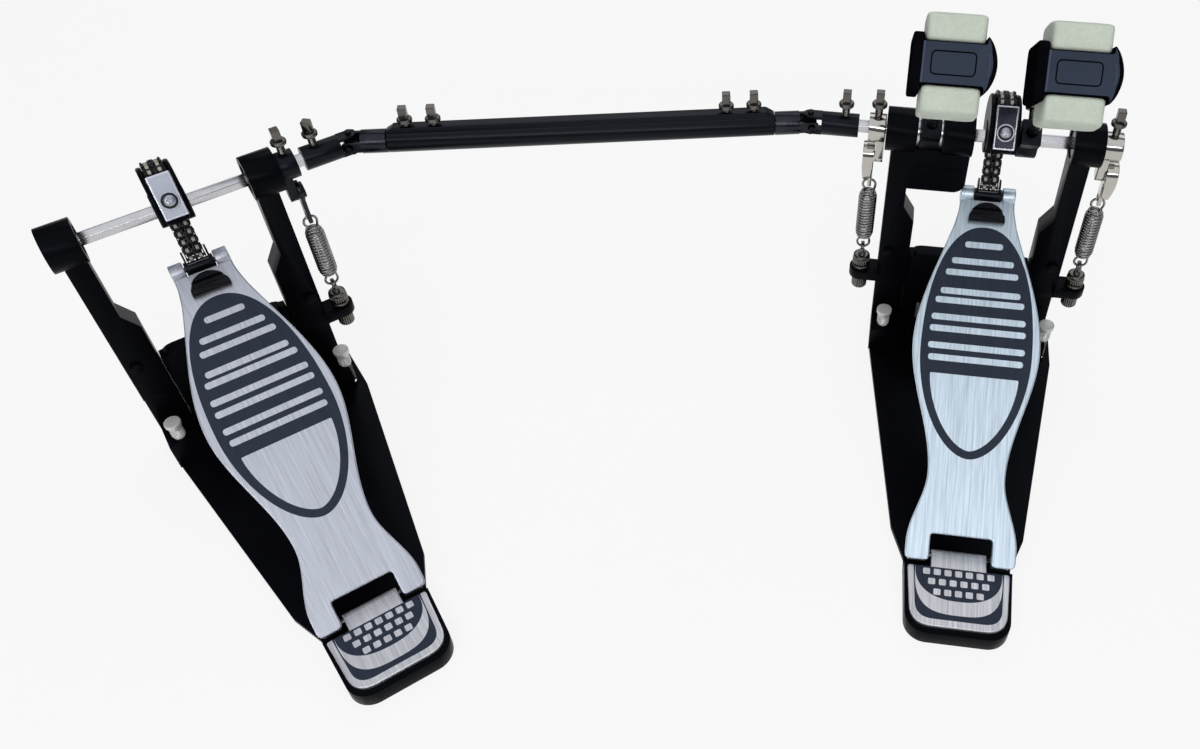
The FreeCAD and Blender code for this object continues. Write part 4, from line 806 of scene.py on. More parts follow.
class PEDAL_OT_heel_plates(bpy.types.Operator):
    """Makes the heel plates with their hinge rolls"""

    bl_idname = "pedal.heel_plates"
    bl_label = "Heel plates"

    def execute(self, context):
        for name, place in PEDALS.items():
            stand_in(name + "_heel_cover", lay(heel_shape(), place), [name + "_heel_brushed"],
                     name + "_heel_plate")
        return {"FINISHED"}


# Middle and half length of each bare stripe in the oval, measured along the board
STRIPES = ((232.8, 12.4), (219.5, 21.3), (210.2, 25.1), (195.4, 27.7), (188.1, 31.0),
           (174.9, 32.8), (166.0, 33.4), (152.9, 33.6), (143.8, 32.9))
STRIPE_HALF, STRIPE_END = 2.4, 1.75
DOT_ROWS = ((-2.8, 22.6, 7), (-10.7, 18.9, 6), (-18.9, 15.0, 5))
DOT_HALF = 2.5
# Half width, depth and roundness of each round form, and the line along the board or heel that it starts from
OVAL_UPPER, OVAL_LOWER, OVAL_LINE = (40.8, -97.0, 2.19), (40.8, 80.0, 1.85), 150.3
PANEL, PANEL_LINE = (32.2, 55.7, 1.7), 131.9
CRESCENT, CRESCENT_LINE, FIELD, FIELD_LINE = (30.8, 36.5, 3.1), 0.5, (30.6, 25.5, 2.4), 0.52
BOWL, BOWL_RADII = ((32, 1.2), (29.5, -40.3), (-29.5, -40.3), (-32, 1.2)), (0.4, 12, 12, 0.4)
# Finish and slot of the printed and the bare layers
PRINTED, BARE = ("_print", "black_coat"), ("_brushed", "aluminium")
PRINT_DEPTH, PRINT_EDGE = 0.3, 0.02


def board_print():
    """The dark oval on the board, with bare stripes and a bare panel that stand a little higher."""
    upper, lower = superellipse(*OVAL_UPPER, 70), superellipse(*OVAL_LOWER, 70)
    oval = np.vstack([upper[:-1], lower[::-1][:-1]]) + [0, OVAL_LINE]
    panel = superellipse(*PANEL, 60) + [0, PANEL_LINE]
    stripes = [eased(panel, [1.2] + [0] * 58 + [1.2])]
    for along, half in STRIPES:
        x, y = half + STRIPE_END, STRIPE_HALF
        stripes.append(eased(rectangle(-x, x, along - y, along + y), y, steps=8))
    return oval, stripes


def heel_print():
    """Layers of the heel's print from below: dark bowl, bare crescent, dark field and bare dots."""
    bowl = eased(BOWL, BOWL_RADII, steps=9)
    crescent = superellipse(*CRESCENT, 60) + [0, CRESCENT_LINE]
    field = superellipse(*FIELD, 60) + [0, FIELD_LINE]
    d = DOT_HALF
    dots = [eased(rectangle(x - d, x + d, y - d, y + d), 1.0)
            for y, half, count in DOT_ROWS for x in np.linspace(-half, half, count)]
    return bowl, crescent, field, dots


class PEDAL_OT_prints(bpy.types.Operator):
    """Lays the grip print on the footboards and heel plates"""

    bl_idname = "pedal.prints"
    bl_label = "Grip print"

    def execute(self, context):
        rise = context.scene.pedal_sizes.print_rise / MM
        oval, stripes = board_print()
        bowl, crescent, field, dots = heel_print()
        on_board = (("_oval", [oval]), ("_stripes", stripes))
        on_heel = (("_bowl", [bowl]), ("_crescent", [crescent]), ("_field", [field]), ("_dots", dots))
        for name, place in PEDALS.items():
            for part, node, seat, top, layers in (
                    ("_board", "_footboard", within(place, BOARD), BOARD_TOP, on_board),
                    ("_heel", "_heel_plate", place, HEEL_TOP, on_heel)):
                for layer, (sheet, outlines) in enumerate(layers, 1):
                    look, slot = PRINTED if layer % 2 else BARE
                    high = top + layer * rise
                    shapes = [slab(o, top - PRINT_DEPTH, high, PRINT_EDGE, 2) for o in outlines]
                    piece(name + part + sheet, lay(join(shapes), seat), [name + part + look],
                          name + node)
        return {"FINISHED"}


# Chain


PLATE_HALF, PLATE_THICK, PLATE_SPACE, PLATE_WAIST, PLATE_PLAY, MIDDLE_PLAY = 2.7, 0.8, 0.15, 0.75, 0.06, 0.1
# Half length and half height of the dark sheet of painted shade between a link's rollers, and how far a bush
# is drawn in
SHADE_SHEET_HALF, SHADE_SHEET_RISE, BUSH_IN = 1.3, 0.7, 0.15
STRAND_OFFSET, ROLLER_WIDTH, ROLLER_R, PIN_R, CHAIN_HALF, ROLLER_HALF = 3.4, 3.2, 1.9, 1.15, 6.9, 1.15


def toe_point():
    return HINGE + np.array([0, BOARD_REACH, BOARD_TOP - TOE_PIN_DROP]) @ BOARD[1]


def cam_radius():
    return CHAIN_PITCH / 2 / math.sin(math.pi / CAM_PITCHES)


def leave_angle():
    """Angle at which the straight chain touches the cam: the toe pin's angle plus the tangent's own."""
    drop = toe_point() - SHAFT
    return math.degrees(math.atan2(drop[2], drop[1]) + math.acos(cam_radius() / math.hypot(drop[1], drop[2])))


def cam_point(angle, radius):
    turn = math.radians(angle)
    return SHAFT + radius * np.array([0, math.cos(turn), math.sin(turn)])


def link_outline():
    """Chain plate: two round ends joined by a waist that follows a cosine."""
    right = [CHAIN_PITCH / 2, 0] + PLATE_HALF * round_points(np.linspace(-np.pi / 2, np.pi / 2, 8))
    x = np.linspace(CHAIN_PITCH / 2, -CHAIN_PITCH / 2, 8)[1:-1]
    waist = PLATE_HALF - PLATE_WAIST * (1 + np.cos(2 * np.pi * x / CHAIN_PITCH)) / 2
    half = np.vstack([right, np.stack([x, waist], axis=1)])
    return np.vstack([half, -half])


def chain_link(start, end, outer, space):
    """Plates of one link and the dark sheet of painted shade between its rollers, each at its own place
    across the chain.
    """
    along = unit(end - start)
    axes = np.array([along, np.cross(X_AXIS, along), X_AXIS])
    near = STRAND_OFFSET - ROLLER_WIDTH / 2 - PLATE_THICK / 2
    far = STRAND_OFFSET + ROLLER_WIDTH / 2 + PLATE_THICK / 2
    if outer:
        beyond, thick = far + PLATE_THICK + space / 2, PLATE_THICK - space
        middle = 2 * near - PLATE_THICK - 2 * space - MIDDLE_PLAY
        plates = [(0.0, middle), (beyond, thick), (-beyond, thick)]
    else:
        plates = [(side * x, PLATE_THICK - PLATE_PLAY) for side in (-1, 1) for x in (near, far)]
    place = ((start + end) / 2, axes)
    # Dark sheet between the rollers: painted shade where the chain's open inside would show.
    parts = [block(-SHADE_SHEET_HALF, SHADE_SHEET_HALF, -SHADE_SHEET_RISE, SHADE_SHEET_RISE, -far, far, 0.1)]
    parts += [slab(link_outline(), x - t / 2, x + t / 2, 0.14, 2) for x, t in plates]
    return [lay(s, place) for s in parts]


def chain_pin(point):
    """Pin with domed ends, two dark bushes and a bright roller on each."""
    parts = [rolled(-CHAIN_HALF, CHAIN_HALF, point[1], point[2], PIN_R, 0.25)]
    for half, radius, paint in ((ROLLER_WIDTH / 2, ROLLER_R - BUSH_IN, 0), (ROLLER_HALF, ROLLER_R, 1)):
        parts += [rolled(x - half, x + half, point[1], point[2], radius, 0.2, paint)
                  for x in (-STRAND_OFFSET, STRAND_OFFSET)]
    return parts


def lobe_shift():
    """From the shaft to the middle of the cam's lobe: one link on along the straight chain."""
    turn = math.radians(leave_angle())
    return np.array([0, -math.sin(turn), math.cos(turn)]) * CHAIN_PITCH


def chain_wrap():
    start, step, radius = leave_angle(), 360 / CAM_PITCHES, cam_radius()
    points = [cam_point(start, radius)]
    points += [cam_point(start + k * step, radius) + lobe_shift() for k in range(WRAP_LINKS + 1)]
    parts = [s for p in points for s in chain_pin(p)]
    for k in range(1, len(points)):
        parts += chain_link(points[k - 1], points[k], k % 2 == 0, 0)
    return join(parts)


def chain_run():
    start = cam_point(leave_angle(), cam_radius())
    step = (toe_point() - start) / RUN_LINKS
    points = [start + step * k for k in range(RUN_LINKS)]
    parts = [s for p in points[1:] for s in chain_pin(p)]
    for k in range(1, len(points)):
        parts += chain_link(points[k - 1], points[k], k % 2 == 1, PLATE_SPACE if k == 1 else 0)
    return join(parts)


CAM_INNER, CAM_OUTER, CHEEK_THICK, CHEEK_R, CORE_R, CAM_HUB_R = 7.05, 11.25, 3.6, 24.4, 21.4, 12.0
CAM_CUT_DROP, CAM_CUT_ANGLE = 5.0, 17.0
PLATE_LEAD, PLATE_UP, PLATE_DOWN, CHAIN_PLATE_HALF, CHAIN_PLATE_THICK = 15.15, 14.5, 16.0, 7.6, 2.0
PLATE_UNDER, SCREW_DROP, PLATE_HIGHLIGHT_WIDTH = 27.43, 4.1, 1.1
SEAT_HALF, SEAT_DOWN, SEAT_UP, SEAT_LOW = 7.0, 15.0, 3.0, 9.0


def lobe_outline(radius, count):
    """Circle of the cam's lobe down to the straight cut under the shaft, seen along the shaft."""
    lean = math.radians(90 - CAM_CUT_ANGLE)
    middle = lobe_shift()[1:]
    drop = CAM_CUT_DROP + middle @ np.array([math.cos(lean), math.sin(lean)])
    half = math.acos(-drop / radius)
    return middle + radius * round_points(lean + np.linspace(-half, half, count))


def plate_frame():
    """Axes of the chain plate: across, up along it and square to it, at the middle of the lobe."""
    turn = math.radians(leave_angle() + WRAP_LINKS * 360 / CAM_PITCHES + PLATE_LEAD)
    out = np.array([0, math.cos(turn), math.sin(turn)])
    return SHAFT + lobe_shift(), np.array([X_AXIS, np.cross(out, X_AXIS), out])


def cam():
    """Core, two round cheeks and hub of the cam, with the seat under the chain plate."""
    lobe = [slab(lobe_outline(CORE_R, 48), -CAM_INNER, CAM_INNER, 0.1, 2)]
    for side in (-1, 1):
        low, high = on_side(side, CAM_INNER, CAM_INNER + CHEEK_THICK)
        lobe.append(slab(lobe_outline(CHEEK_R, 80), low, high, 1.3, 5))
    seat = block(-SEAT_HALF, SEAT_HALF, -SEAT_DOWN, SEAT_UP, SEAT_LOW, PLATE_UNDER, 0.6)
    return join([lay(join(lobe), ALONG_SHAFT), lay(seat, plate_frame()),
                 rolled(-CAM_OUTER, CAM_OUTER, SHAFT_Y, SHAFT_Z, CAM_HUB_R, 1.0)])


def chain_plate():
    """Plate with a painted highlight round its edge: the same outline twice, the inner one drawn in and a
    hair higher, so the outer one shows only as a bright band of painted highlight.
    """
    low, high = PLATE_UNDER + 0.05, PLATE_UNDER + CHAIN_PLATE_THICK

    def sheet(inset, top, edge, paint):
        x, down, up = CHAIN_PLATE_HALF - inset, inset - PLATE_DOWN, PLATE_UP - inset
        return slab(eased(rectangle(-x, x, down, up), 0.9), low, top, edge, 4, paint)

    # The outer sheet shows as a band of painted highlight round the inner one.
    inner = sheet(PLATE_HIGHLIGHT_WIDTH, high + 0.04, 0.02, 0)
    return lay(join([sheet(0.0, high, 0.6, 1), inner]), plate_frame())


class PEDAL_OT_chains(bpy.types.Operator):
    """Makes the cams with their chain plates, and the double chains with plates, rollers and pins"""

    bl_idname = "pedal.chains"
    bl_label = "Chains"

    def execute(self, context):
        for name, place in PEDALS.items():
            # The chain plate's first finish holds a painted reflection, dark on the main pedal, and its
            # second a painted highlight on the edge band.
            links = ["chain_black", "roller"]
            for part, kind, shape, looks, slot in (
                    ("_chain_wrap", "_links", chain_wrap(), links, "steel"),
                    ("_chain_run", "_links", chain_run(), links, "steel"),
                    ("_cam", "_body", cam(), ["black_coat"], "black_coat"),
                    ("_chain_plate", "_body", chain_plate(), [name + "_plate", "plate_edge"], "chrome")):
                stand_in(name + part + kind, lay(shape, place), looks, name + part)
        return {"FINISHED"}


# Springs


def spring_path(turns):
    """Lower hook, coil and upper hook as one line, with a hint direction for each of its points."""
    hook, hook_turn, end_r, full_r, taper, pull = 4.8, 230, 4.0, 6.2, 2.5, 8
    low_hook, high_hook, low, high = 103.05, 161.95, 109.05, 155.95
    swing = np.radians(np.linspace(hook_turn, 0, 42))
    curl = np.stack([np.cos(swing), 0 * swing, np.sin(swing)], axis=1) * hook
    lower = curl * [1, 1, -1] + [0, 0, low_hook]
    upper = curl[::-1] + [0, 0, high_hook]
    u = np.linspace(0, turns, turns * 36 + 1)
    share = np.clip(np.minimum(u, turns - u) / taper, 0, 1)
    radius = end_r + (full_r - end_r) * (1 - (1 - share) ** 2)
    coil = round_grid(radius, low + (high - low) * u / turns, 2 * np.pi * u)
    t = np.linspace(0, 1, 14)[1:-1, None]
    blends = []
    for a, leave, b, arrive in ((lower[-1], Z_AXIS, coil[0], Y_AXIS), (coil[-1], Y_AXIS, upper[0], Z_AXIS)):
        blends.append(cubic(t, a, pull * leave, b, pull * arrive))
    path = np.vstack([lower, blends[0], coil, blends[1], upper])
    rise = t * t * (3 - 2 * t)
    to_coil = np.where(rise < 0.5, Y_AXIS * (1 - 2 * rise) + X_AXIS * 2 * rise,
                       X_AXIS * (2 - 2 * rise) + Z_AXIS * (2 * rise - 1))
    hints = np.vstack([np.tile(Y_AXIS, (len(lower), 1)), to_coil, np.tile(Z_AXIS, (len(coil), 1)),
                       to_coil[::-1], np.tile(Y_AXIS, (len(upper), 1))])
    return path, hints, low, high


class PEDAL_OT_springs(bpy.types.Operator):
    """Winds the three extension springs, each running between its two hooks"""

    bl_idname = "pedal.springs"
    bl_label = "Springs"

    def execute(self, context):
        sizes = context.scene.pedal_sizes
        path, hints, low, high = spring_path(sizes.spring_turns)
        wire = tube(path, sizes.spring_wire / MM, hints)
        for name, x, place in (("main", RIGHT_SPRING_X, MAIN), ("second", LEFT_SPRING_X, MAIN),
                               ("slave", RIGHT_SPRING_X, SLAVE)):
            seat = within(place, at(x, SHAFT_Y, 0))
            obj = piece(name + "_spring_coil", lay(wire, seat), ["spring_steel"],
                        stands_for=[name + "_spring"])
            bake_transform(obj)
        return {"FINISHED"}


# Beater heads and their felts


HEAD_LEFT, HEAD_RIM, HEAD_RIGHT, HEAD_SLAB = -24.25, 17.25, 24.25, 6.5
HEAD_HALF_DEPTH, WEB_HALF_DEPTH, HEAD_HALF, HEAD_CORNER, DOME_CUT = 17.0, 12.0, 23.0, 6.0, 0.2
# Edge radius of the dome's end faces, from the middle out to the sides
DOME_PLACES, DOME_EDGES, WEB_EDGE = (8, 15), (2.8, 0.9), 0.6
# Raised outline on the head's end: its span, its half width and its height, and the line beside the dome
LOOP_SPAN, LOOP_HALF, LOOP_RISE, LINE_IN, LINE_R, SUNK = (-13, 12, -6.5, 6.5), 0.45, 0.4, 4.4, 0.35, 0.1
FELT_HALF, FELT_RISE, FELT_DEPTH, FELT_CROWN, FELT_POWER, FELT_SHIFT = 17.2, 21.4, 9.0, 2.6, 0.2, -0.25
HEAD_LOOKS = ["head_plastic", "head_rim", "head_edge"]


def head_place(x):
    middle = np.array([x, SHAFT_Y, SHAFT_Z + HEAD_MID])
    return within(LEAN, (middle, HEAD_TURN))


def rim_loop(outline, height, half, rise, paint):
    """A low rounded ridge along a closed outline: an ellipse across, carried round the line."""
    ahead = unit(np.roll(outline, -1, 0) - np.roll(outline, 1, 0))
    side = np.stack([ahead[:, 1], -ahead[:, 0]], axis=1)
    turn = np.linspace(0, 2 * np.pi, 9)[:, None, None]
    flat = outline[None] + side[None] * np.cos(turn) * half
    lift = np.broadcast_to(height + rise * np.sin(turn), flat.shape[:2] + (1,))
    return shell(np.concatenate([flat, lift], axis=2), caps=False, paint=paint)


def beater_head():
    """Head along the rod: a flat plate with round corners, and a web that widens to a dome."""
    bulge = HEAD_RIGHT - HEAD_RIM
    radius = (HEAD_HALF_DEPTH ** 2 + bulge ** 2) / (2 * bulge)
    reach = math.asin(HEAD_HALF_DEPTH / radius)
    arc = round_points(np.linspace(DOME_CUT - reach, reach - DOME_CUT, 24))
    centre = np.array([HEAD_RIGHT - radius, 0])
    inner, d, w = HEAD_LEFT + HEAD_SLAB, HEAD_HALF_DEPTH, WEB_HALF_DEPTH
    start = [(inner - 1, w), (inner - 1, -w), (HEAD_RIM, -w), (HEAD_RIM, -d)]
    end = [(HEAD_RIM, d), (HEAD_RIM, w)]
    radii = np.concatenate([[0.6, 0.6, 1.5, 3.0], np.zeros(len(arc)), [3.0, 1.5]])
    outline = eased(np.vstack([start, centre + arc * radius, end]), radii, steps=6)
    dome = np.interp(np.abs(outline[:, 1]), DOME_PLACES, DOME_EDGES)
    soft = np.where(outline[:, 0] > HEAD_RIM + 0.2, dome, WEB_EDGE)
    corners = eased(rectangle(-d, d, -HEAD_HALF, HEAD_HALF), HEAD_CORNER, steps=8)
    # The side plate is painted all over in the darker head finish: painted shade.
    plate = lay(slab(corners, HEAD_LEFT, inner, 1.5, 5, 1), (np.zeros(3), ALONG_SHAFT[1]))
    # Strip where the plate meets the web, in the light head finish: a painted highlight.
    ridge = block(inner - 0.5, inner + 0.8, 0.4 - w, w - 0.4, HEAD_HALF - 3, HEAD_HALF + 0.5, 0.4, 2)
    # The sides of the web and dome carry the darker finish as painted shade; the two end faces keep the
    # plastic.
    points, faces, paint = slab(outline, -HEAD_HALF, HEAD_HALF, soft, 6, 1)
    body = (points, faces, paint[:-2] + [0, 0])
    # The raised outline is painted dark: painted shade of a sunk line.
    loop = rim_loop(eased(rectangle(*LOOP_SPAN), 3.0, steps=7), HEAD_HALF - SUNK, LOOP_HALF, LOOP_RISE, 1)
    # Line beside the dome, in the light head finish: a painted highlight.
    line = centre + arc[5:-5] * (radius - LINE_IN)
    line = np.hstack([line, np.full((len(line), 1), HEAD_HALF - SUNK)])
    return join([body, plate, ridge, loop, tube(line, LINE_R, Z_AXIS, paint=2)])


def felt_block(side):
    """Felt pad: a rounded box from a superquadric whose striking face is crowned along its height."""
    u = np.linspace(-np.pi / 2, np.pi / 2, 65)[:, None]
    v = full_turn(128)[None]

    def power(value):
        return np.sign(value) * np.abs(value) ** FELT_POWER

    x = FELT_HALF * power(np.cos(u)) * power(np.cos(v))
    z = FELT_RISE * power(np.cos(u)) * power(np.sin(v))
    depth = FELT_DEPTH * (power(np.sin(u)) + 0 * v)
    crown = FELT_CROWN * (z / FELT_RISE) ** 2
    depth = depth - np.where(depth > 0, crown * depth / FELT_DEPTH, 0)
    grid = np.stack([x + FELT_SHIFT, side * (depth + FELT_DEPTH + WEB_HALF_DEPTH), z], axis=-1)
    return shell(grid, caps=False)


class PEDAL_OT_beaters(bpy.types.Operator):
    """Makes the beaters' heads and their felts"""

    bl_idname = "pedal.beaters"
    bl_label = "Beater heads"

    def execute(self, context):
        for name, x in (("main", MAIN_BEATER_X), ("second", SECOND_BEATER_X)):
            stand_in(name + "_head_shell", lay(beater_head(), head_place(x)), HEAD_LOOKS,
                     name + "_beater_head")
            pads = join([felt_block(-1), felt_block(1)])
            stand_in(name + "_felt_pads", lay(pads, head_place(x)), ["felt"], name + "_beater_felts")
        return {"FINISHED"}


# Bolts, spurs, adjusters and other fasteners


# Profiles and outlines: radius and height, or across and up
BOLT_COLLAR = np.array([(0, 0), (5.0, 0), (5.6, 0.6), (5.6, 2.4), (4.6, 3.4), (0, 3.4)])
BOLT_R, BOLT_HALF, BOLT_LOW, BOLT_HIGH, BOLT_NECK, SHORT_NECK = 2.9, 3.0, 3.2, 12.4, 8.0, 3.0
SPUR_TIP = ((0, 0.05), (0.9, 0.15), (3.5, 5.2))
SPUR_HEAD = ((0, 34), (5.0, 34), (5.0, 37.2), (6.2, 37.4), (6.2, 41), (0, 41))
CUP = ((0, 77.05), (6.4, 77.05), (7.0, 77.8), (7.0, 79.5), (5.6, 80.2), (5.6, 87.0), (6.8, 87.6),
       (6.6, 89.2), (5.0, 90.05), (0, 90.05))
WINGS = ((-9, 3.25), (-9, 13), (-5.5, 13), (-2.5, 6.5), (2.5, 6.5), (5.5, 13), (9, 13), (9, 3.25), (0, 0))
EYE_HEIGHT, WING_HALF_THICK, COLLAR_R, COLLAR_LOW, COLLAR_HIGH = 97.0, 1.75, 5.0, 18.6, 31.6
# Where the fasteners sit: from the shaft, the joints, the rail's ends or the pedal's own origin
ROCKER_BOLT_RISE, HUB_BOLT_OUT, HUB_BOLT_RISE = 10.5, 13 * math.cos(math.pi / 4), 18.6
FORK_BOLT_REACH, FORK_BOLT_RISE, RAIL_BOLT_RISE = 25.5, 8.6, 12.6
RAIL_BOLTS = (42, 62, DRIVE_SPAN - 62, DRIVE_SPAN - 42)
SPUR_X, SPUR_Y, WING_X, WING_Y = 67, 231.0, -38.5, 236.0


def key_bolt(pitch, neck=BOLT_NECK):
    """Square-headed bolt: threaded neck, round collar with a coned top, and a square with softened edges."""
    square = eased(rectangle(-BOLT_HALF, BOLT_HALF, -BOLT_HALF, BOLT_HALF), 0.8)
    return join([threaded(BOLT_R, 0.05, neck + 0.2, pitch, 0.4), lathe(BOLT_COLLAR + [0, neck], ease=0.3),
                 slab(square, neck + BOLT_LOW, neck + BOLT_HIGH, 0.6)])


def cross_screw():
    """Pan head sunk in a raised ring: the dome is lowered inside a cross, and a dark disc between the head
    and the ring is a painted shadow.
    """
    head_r, low, dome, sink = 3.8, 0.9, 2.6, 1.3
    radius = np.linspace(1, 0, 26)[:, None]
    angle = full_turn(96)[None]
    x, y = np.abs(radius * np.cos(angle)) * head_r, np.abs(radius * np.sin(angle)) * head_r
    arm, reach = np.minimum(x, y), np.maximum(x, y)
    sunk = np.clip((0.65 - arm) / 0.25, 0, 1) * np.clip((2.1 - reach) / 0.3, 0, 1)
    height = low + dome * np.sqrt(np.clip(1 - 0.8 * radius ** 4, 0, 1)) - sink * sunk
    grid = np.concatenate([round_grid(head_r, 0.1, angle), round_grid(head_r * radius, height, angle)])
    # Dark disc between the head and the ring: painted shadow.
    painted_shadow_disc = lathe(bar_profile(5.3, 0.05, 0.3), paint=2)
    return join([washer(5.2, 6.2, 0.05, 1.1, 0.3, 1), painted_shadow_disc, shell(grid, caps=False, paint=1)])


def spur(pitch):
    """Pointed spur: a cone, a threaded stem and a flat round head."""
    return join([lathe(SPUR_TIP, 24, paint=2), threaded(4.0, 5.0, 25.0, pitch, 0.45, 2),
                 threaded(5.1, 24.1, 36.5, 1.8 * pitch, 0.9), lathe(SPUR_HEAD, ease=0.5)])


def adjuster(pitch):
    """Eye, threaded stem, collar above the lug and knurled nut below it; heights are from the floor."""
    ring = lay(washer(2.7, 5.0, -1.5, 1.5, 0.9), standing((0, 0, EYE_HEIGHT), X_AXIS))
    return join([ring, threaded(3.0, 53.9, 93.6, pitch, 0.4), lathe(CUP, ease=0.4),
                 knurled(7.0, 80.4, 87.2, 26, 0.5, 0.7), knurled(6.2, 56.0, 68.9, 24, 0.5, 0.9)])


def wing_screw(pitch):
    """Wing screw: threaded stud, collar and two rounded wings."""
    wings = slab(eased(WINGS, 1.8), -WING_HALF_THICK, WING_HALF_THICK, 0.7, paint=1)
    upright = (np.array([0, 0, COLLAR_LOW]), rotation(X_AXIS, 90))
    return join([threaded(3.0, 4.05, 49.0, pitch, 0.4, 2), lay(wings, upright),
                 lathe(bar_profile(COLLAR_R, COLLAR_LOW, COLLAR_HIGH), ease=0.8, paint=1)])


def plate_seat():
    """Place and direction of the screw on the chain plate."""
    return within(plate_frame(), at(0, -SCREW_DROP, PLATE_UNDER + CHAIN_PLATE_THICK + 0.05))


class PEDAL_OT_fasteners(bpy.types.Operator):
    """Makes the key bolts, spurs, spring adjusters, wing screw and chain plate screws"""

    bl_idname = "pedal.fasteners"
    bl_label = "Fasteners"

    def execute(self, context):
        pitch = context.scene.pedal_sizes.thread_pitch / MM
        bolt = key_bolt(pitch)
        screw = lay(cross_screw(), plate_seat())

        def rocker_bolt(x):
            return lay(bolt, standing((x, SHAFT_Y, SHAFT_Z + ROCKER_BOLT_RISE), Z_AXIS))

        def hub_bolt(x):
            seat = standing((x, SHAFT_Y + HUB_BOLT_OUT, SHAFT_Z + HUB_BOLT_RISE), Y_AXIS)
            return lay(lay(bolt, seat), LEAN)

        def fork_bolt(joint, way):
            return lay(bolt, standing(joint + way * FORK_BOLT_REACH + Z_AXIS * FORK_BOLT_RISE, Z_AXIS))

        main_bolts = join([rocker_bolt(RIGHT_ROCKER_X), hub_bolt(MAIN_BEATER_X), screw])
        second_bolts = join([rocker_bolt(LEFT_ROCKER_X), hub_bolt(SECOND_BEATER_X),
                             fork_bolt(MAIN_JOINT, X_AXIS)])
        slave_bolts = join([lay(join([rocker_bolt(RIGHT_ROCKER_X), screw]), SLAVE),
                            fork_bolt(DRIVE[0], -heading(SLAVE_YAW))])
        short = key_bolt(pitch, SHORT_NECK)
        rail = [lay(short, standing((x, 0, RAIL_BOLT_RISE), Z_AXIS)) for x in RAIL_BOLTS]
        spurs = [lay(spur(pitch), at(x, SPUR_Y, 0)) for x in (-SPUR_X, SPUR_X)]
        wing = lay(wing_screw(pitch), at(WING_X, WING_Y, 0))
        eyes = [lay(adjuster(pitch), at(x, SHAFT_Y, 0)) for x in (RIGHT_SPRING_X, LEFT_SPRING_X)]
        bolts = (("main_shaft_bolts", main_bolts), ("second_shaft_bolts", second_bolts),
                 ("slave_shaft_bolts", slave_bolts), ("tube_bolts", lay(join(rail), DRIVE)),
                 ("main_spring_adjusters", join(eyes)), ("slave_spring_adjuster", lay(eyes[0], SLAVE)))
        feet = (("main_frame_screws", join(spurs + [wing])), ("slave_spurs", lay(join(spurs), SLAVE)))
        # The bolts' third finish paints the shadow round the chain plate screw's head.
        for looks, group in ((["steel", "plate_screw", "chain_black"], bolts),
                             (["zinc", "black_coat", "steel"], feet)):
            for node, shape in group:
                stand_in(node + "_turned", shape, looks, node)
        return {"FINISHED"}


# Stage


CAMERA_PLACE = (-0.09366, -0.44314, 0.71254)
CAMERA_PITCH, CAMERA_YAW, CAMERA_ROLL = 47.48, 7.91, -0.06
CAMERA_LENS, CAMERA_SENSOR, CAMERA_SHIFT = 33.80, 36.0, (-0.1185, -0.0193)
LAMPS = (("key", (-0.2, -0.5, 2.1), (3.0, 2.4), 17.0), ("back", (-0.2, 1.7, 1.6), (2.8, 1.2), 11.0),
         ("glint", (-0.1, -1.5, 1.25), (2.4, 0.2), 13.0))
LAMP_AIM = Vector((-0.2, 0.1, 0.1))
FLOOR_HALF, FLOOR_DROP, FLOOR_LIT = 40, 0.0002, 0.85
FLOOR_TONES, FLOOR_ROUGH, FLOOR_GRAIN = ((0.86, 0.86, 0.86), (0.9, 0.9, 0.9)), (0.8, 0.9), (60, 2)
ROOM_FROM, ROOM_TO, ROOM_LOW, ROOM_HIGH = -0.1, 0.9, (0.08, 0.085, 0.1, 1), (0.22, 0.24, 0.28, 1)


def camera_turn():
    """Columns of the camera's axes: right, up and backwards, from pitch, yaw and roll."""
    pitch, yaw, roll = (math.radians(v) for v in (CAMERA_PITCH, CAMERA_YAW, CAMERA_ROLL))
    ahead = Vector((-math.sin(yaw) * math.cos(pitch), math.cos(yaw) * math.cos(pitch), -math.sin(pitch)))
    level = Vector((math.cos(yaw), math.sin(yaw), 0))
    upward = level.cross(ahead)
    right = level * math.cos(roll) + upward * math.sin(roll)
    top = upward * math.cos(roll) - level * math.sin(roll)
    return Matrix((right, top, -ahead)).transposed()


def pale_floor():
    """Pale floor that keeps its shadows and, to the eye and in mirrors, is mostly lit up to white."""
    material = finish("pale_floor", *FLOOR_TONES, FLOOR_ROUGH, *FLOOR_GRAIN)
    tree = material.node_tree
    rays = tree.nodes.new("ShaderNodeLightPath").outputs
    seen = rays["Is Camera Ray"]
    for way in ("Is Glossy Ray", "Is Transmission Ray"):
        seen = put(tree, "ShaderNodeMath", {0: seen, 1: rays[way]}, operation="MAXIMUM").outputs[0]
    share = put(tree, "ShaderNodeMath", {0: seen, 1: FLOOR_LIT}, operation="MULTIPLY")
    white = put(tree, "ShaderNodeEmission", {"Color": (1, 1, 1, 1), "Strength": 1.0})
    plain = tree.nodes["Principled BSDF"].outputs[0]
    mixed = put(tree, "ShaderNodeMixShader", {0: share.outputs[0], 1: plain, 2: white.outputs[0]})
    tree.links.new(mixed.outputs[0], tree.nodes["Material Output"].inputs["Surface"])
    return material


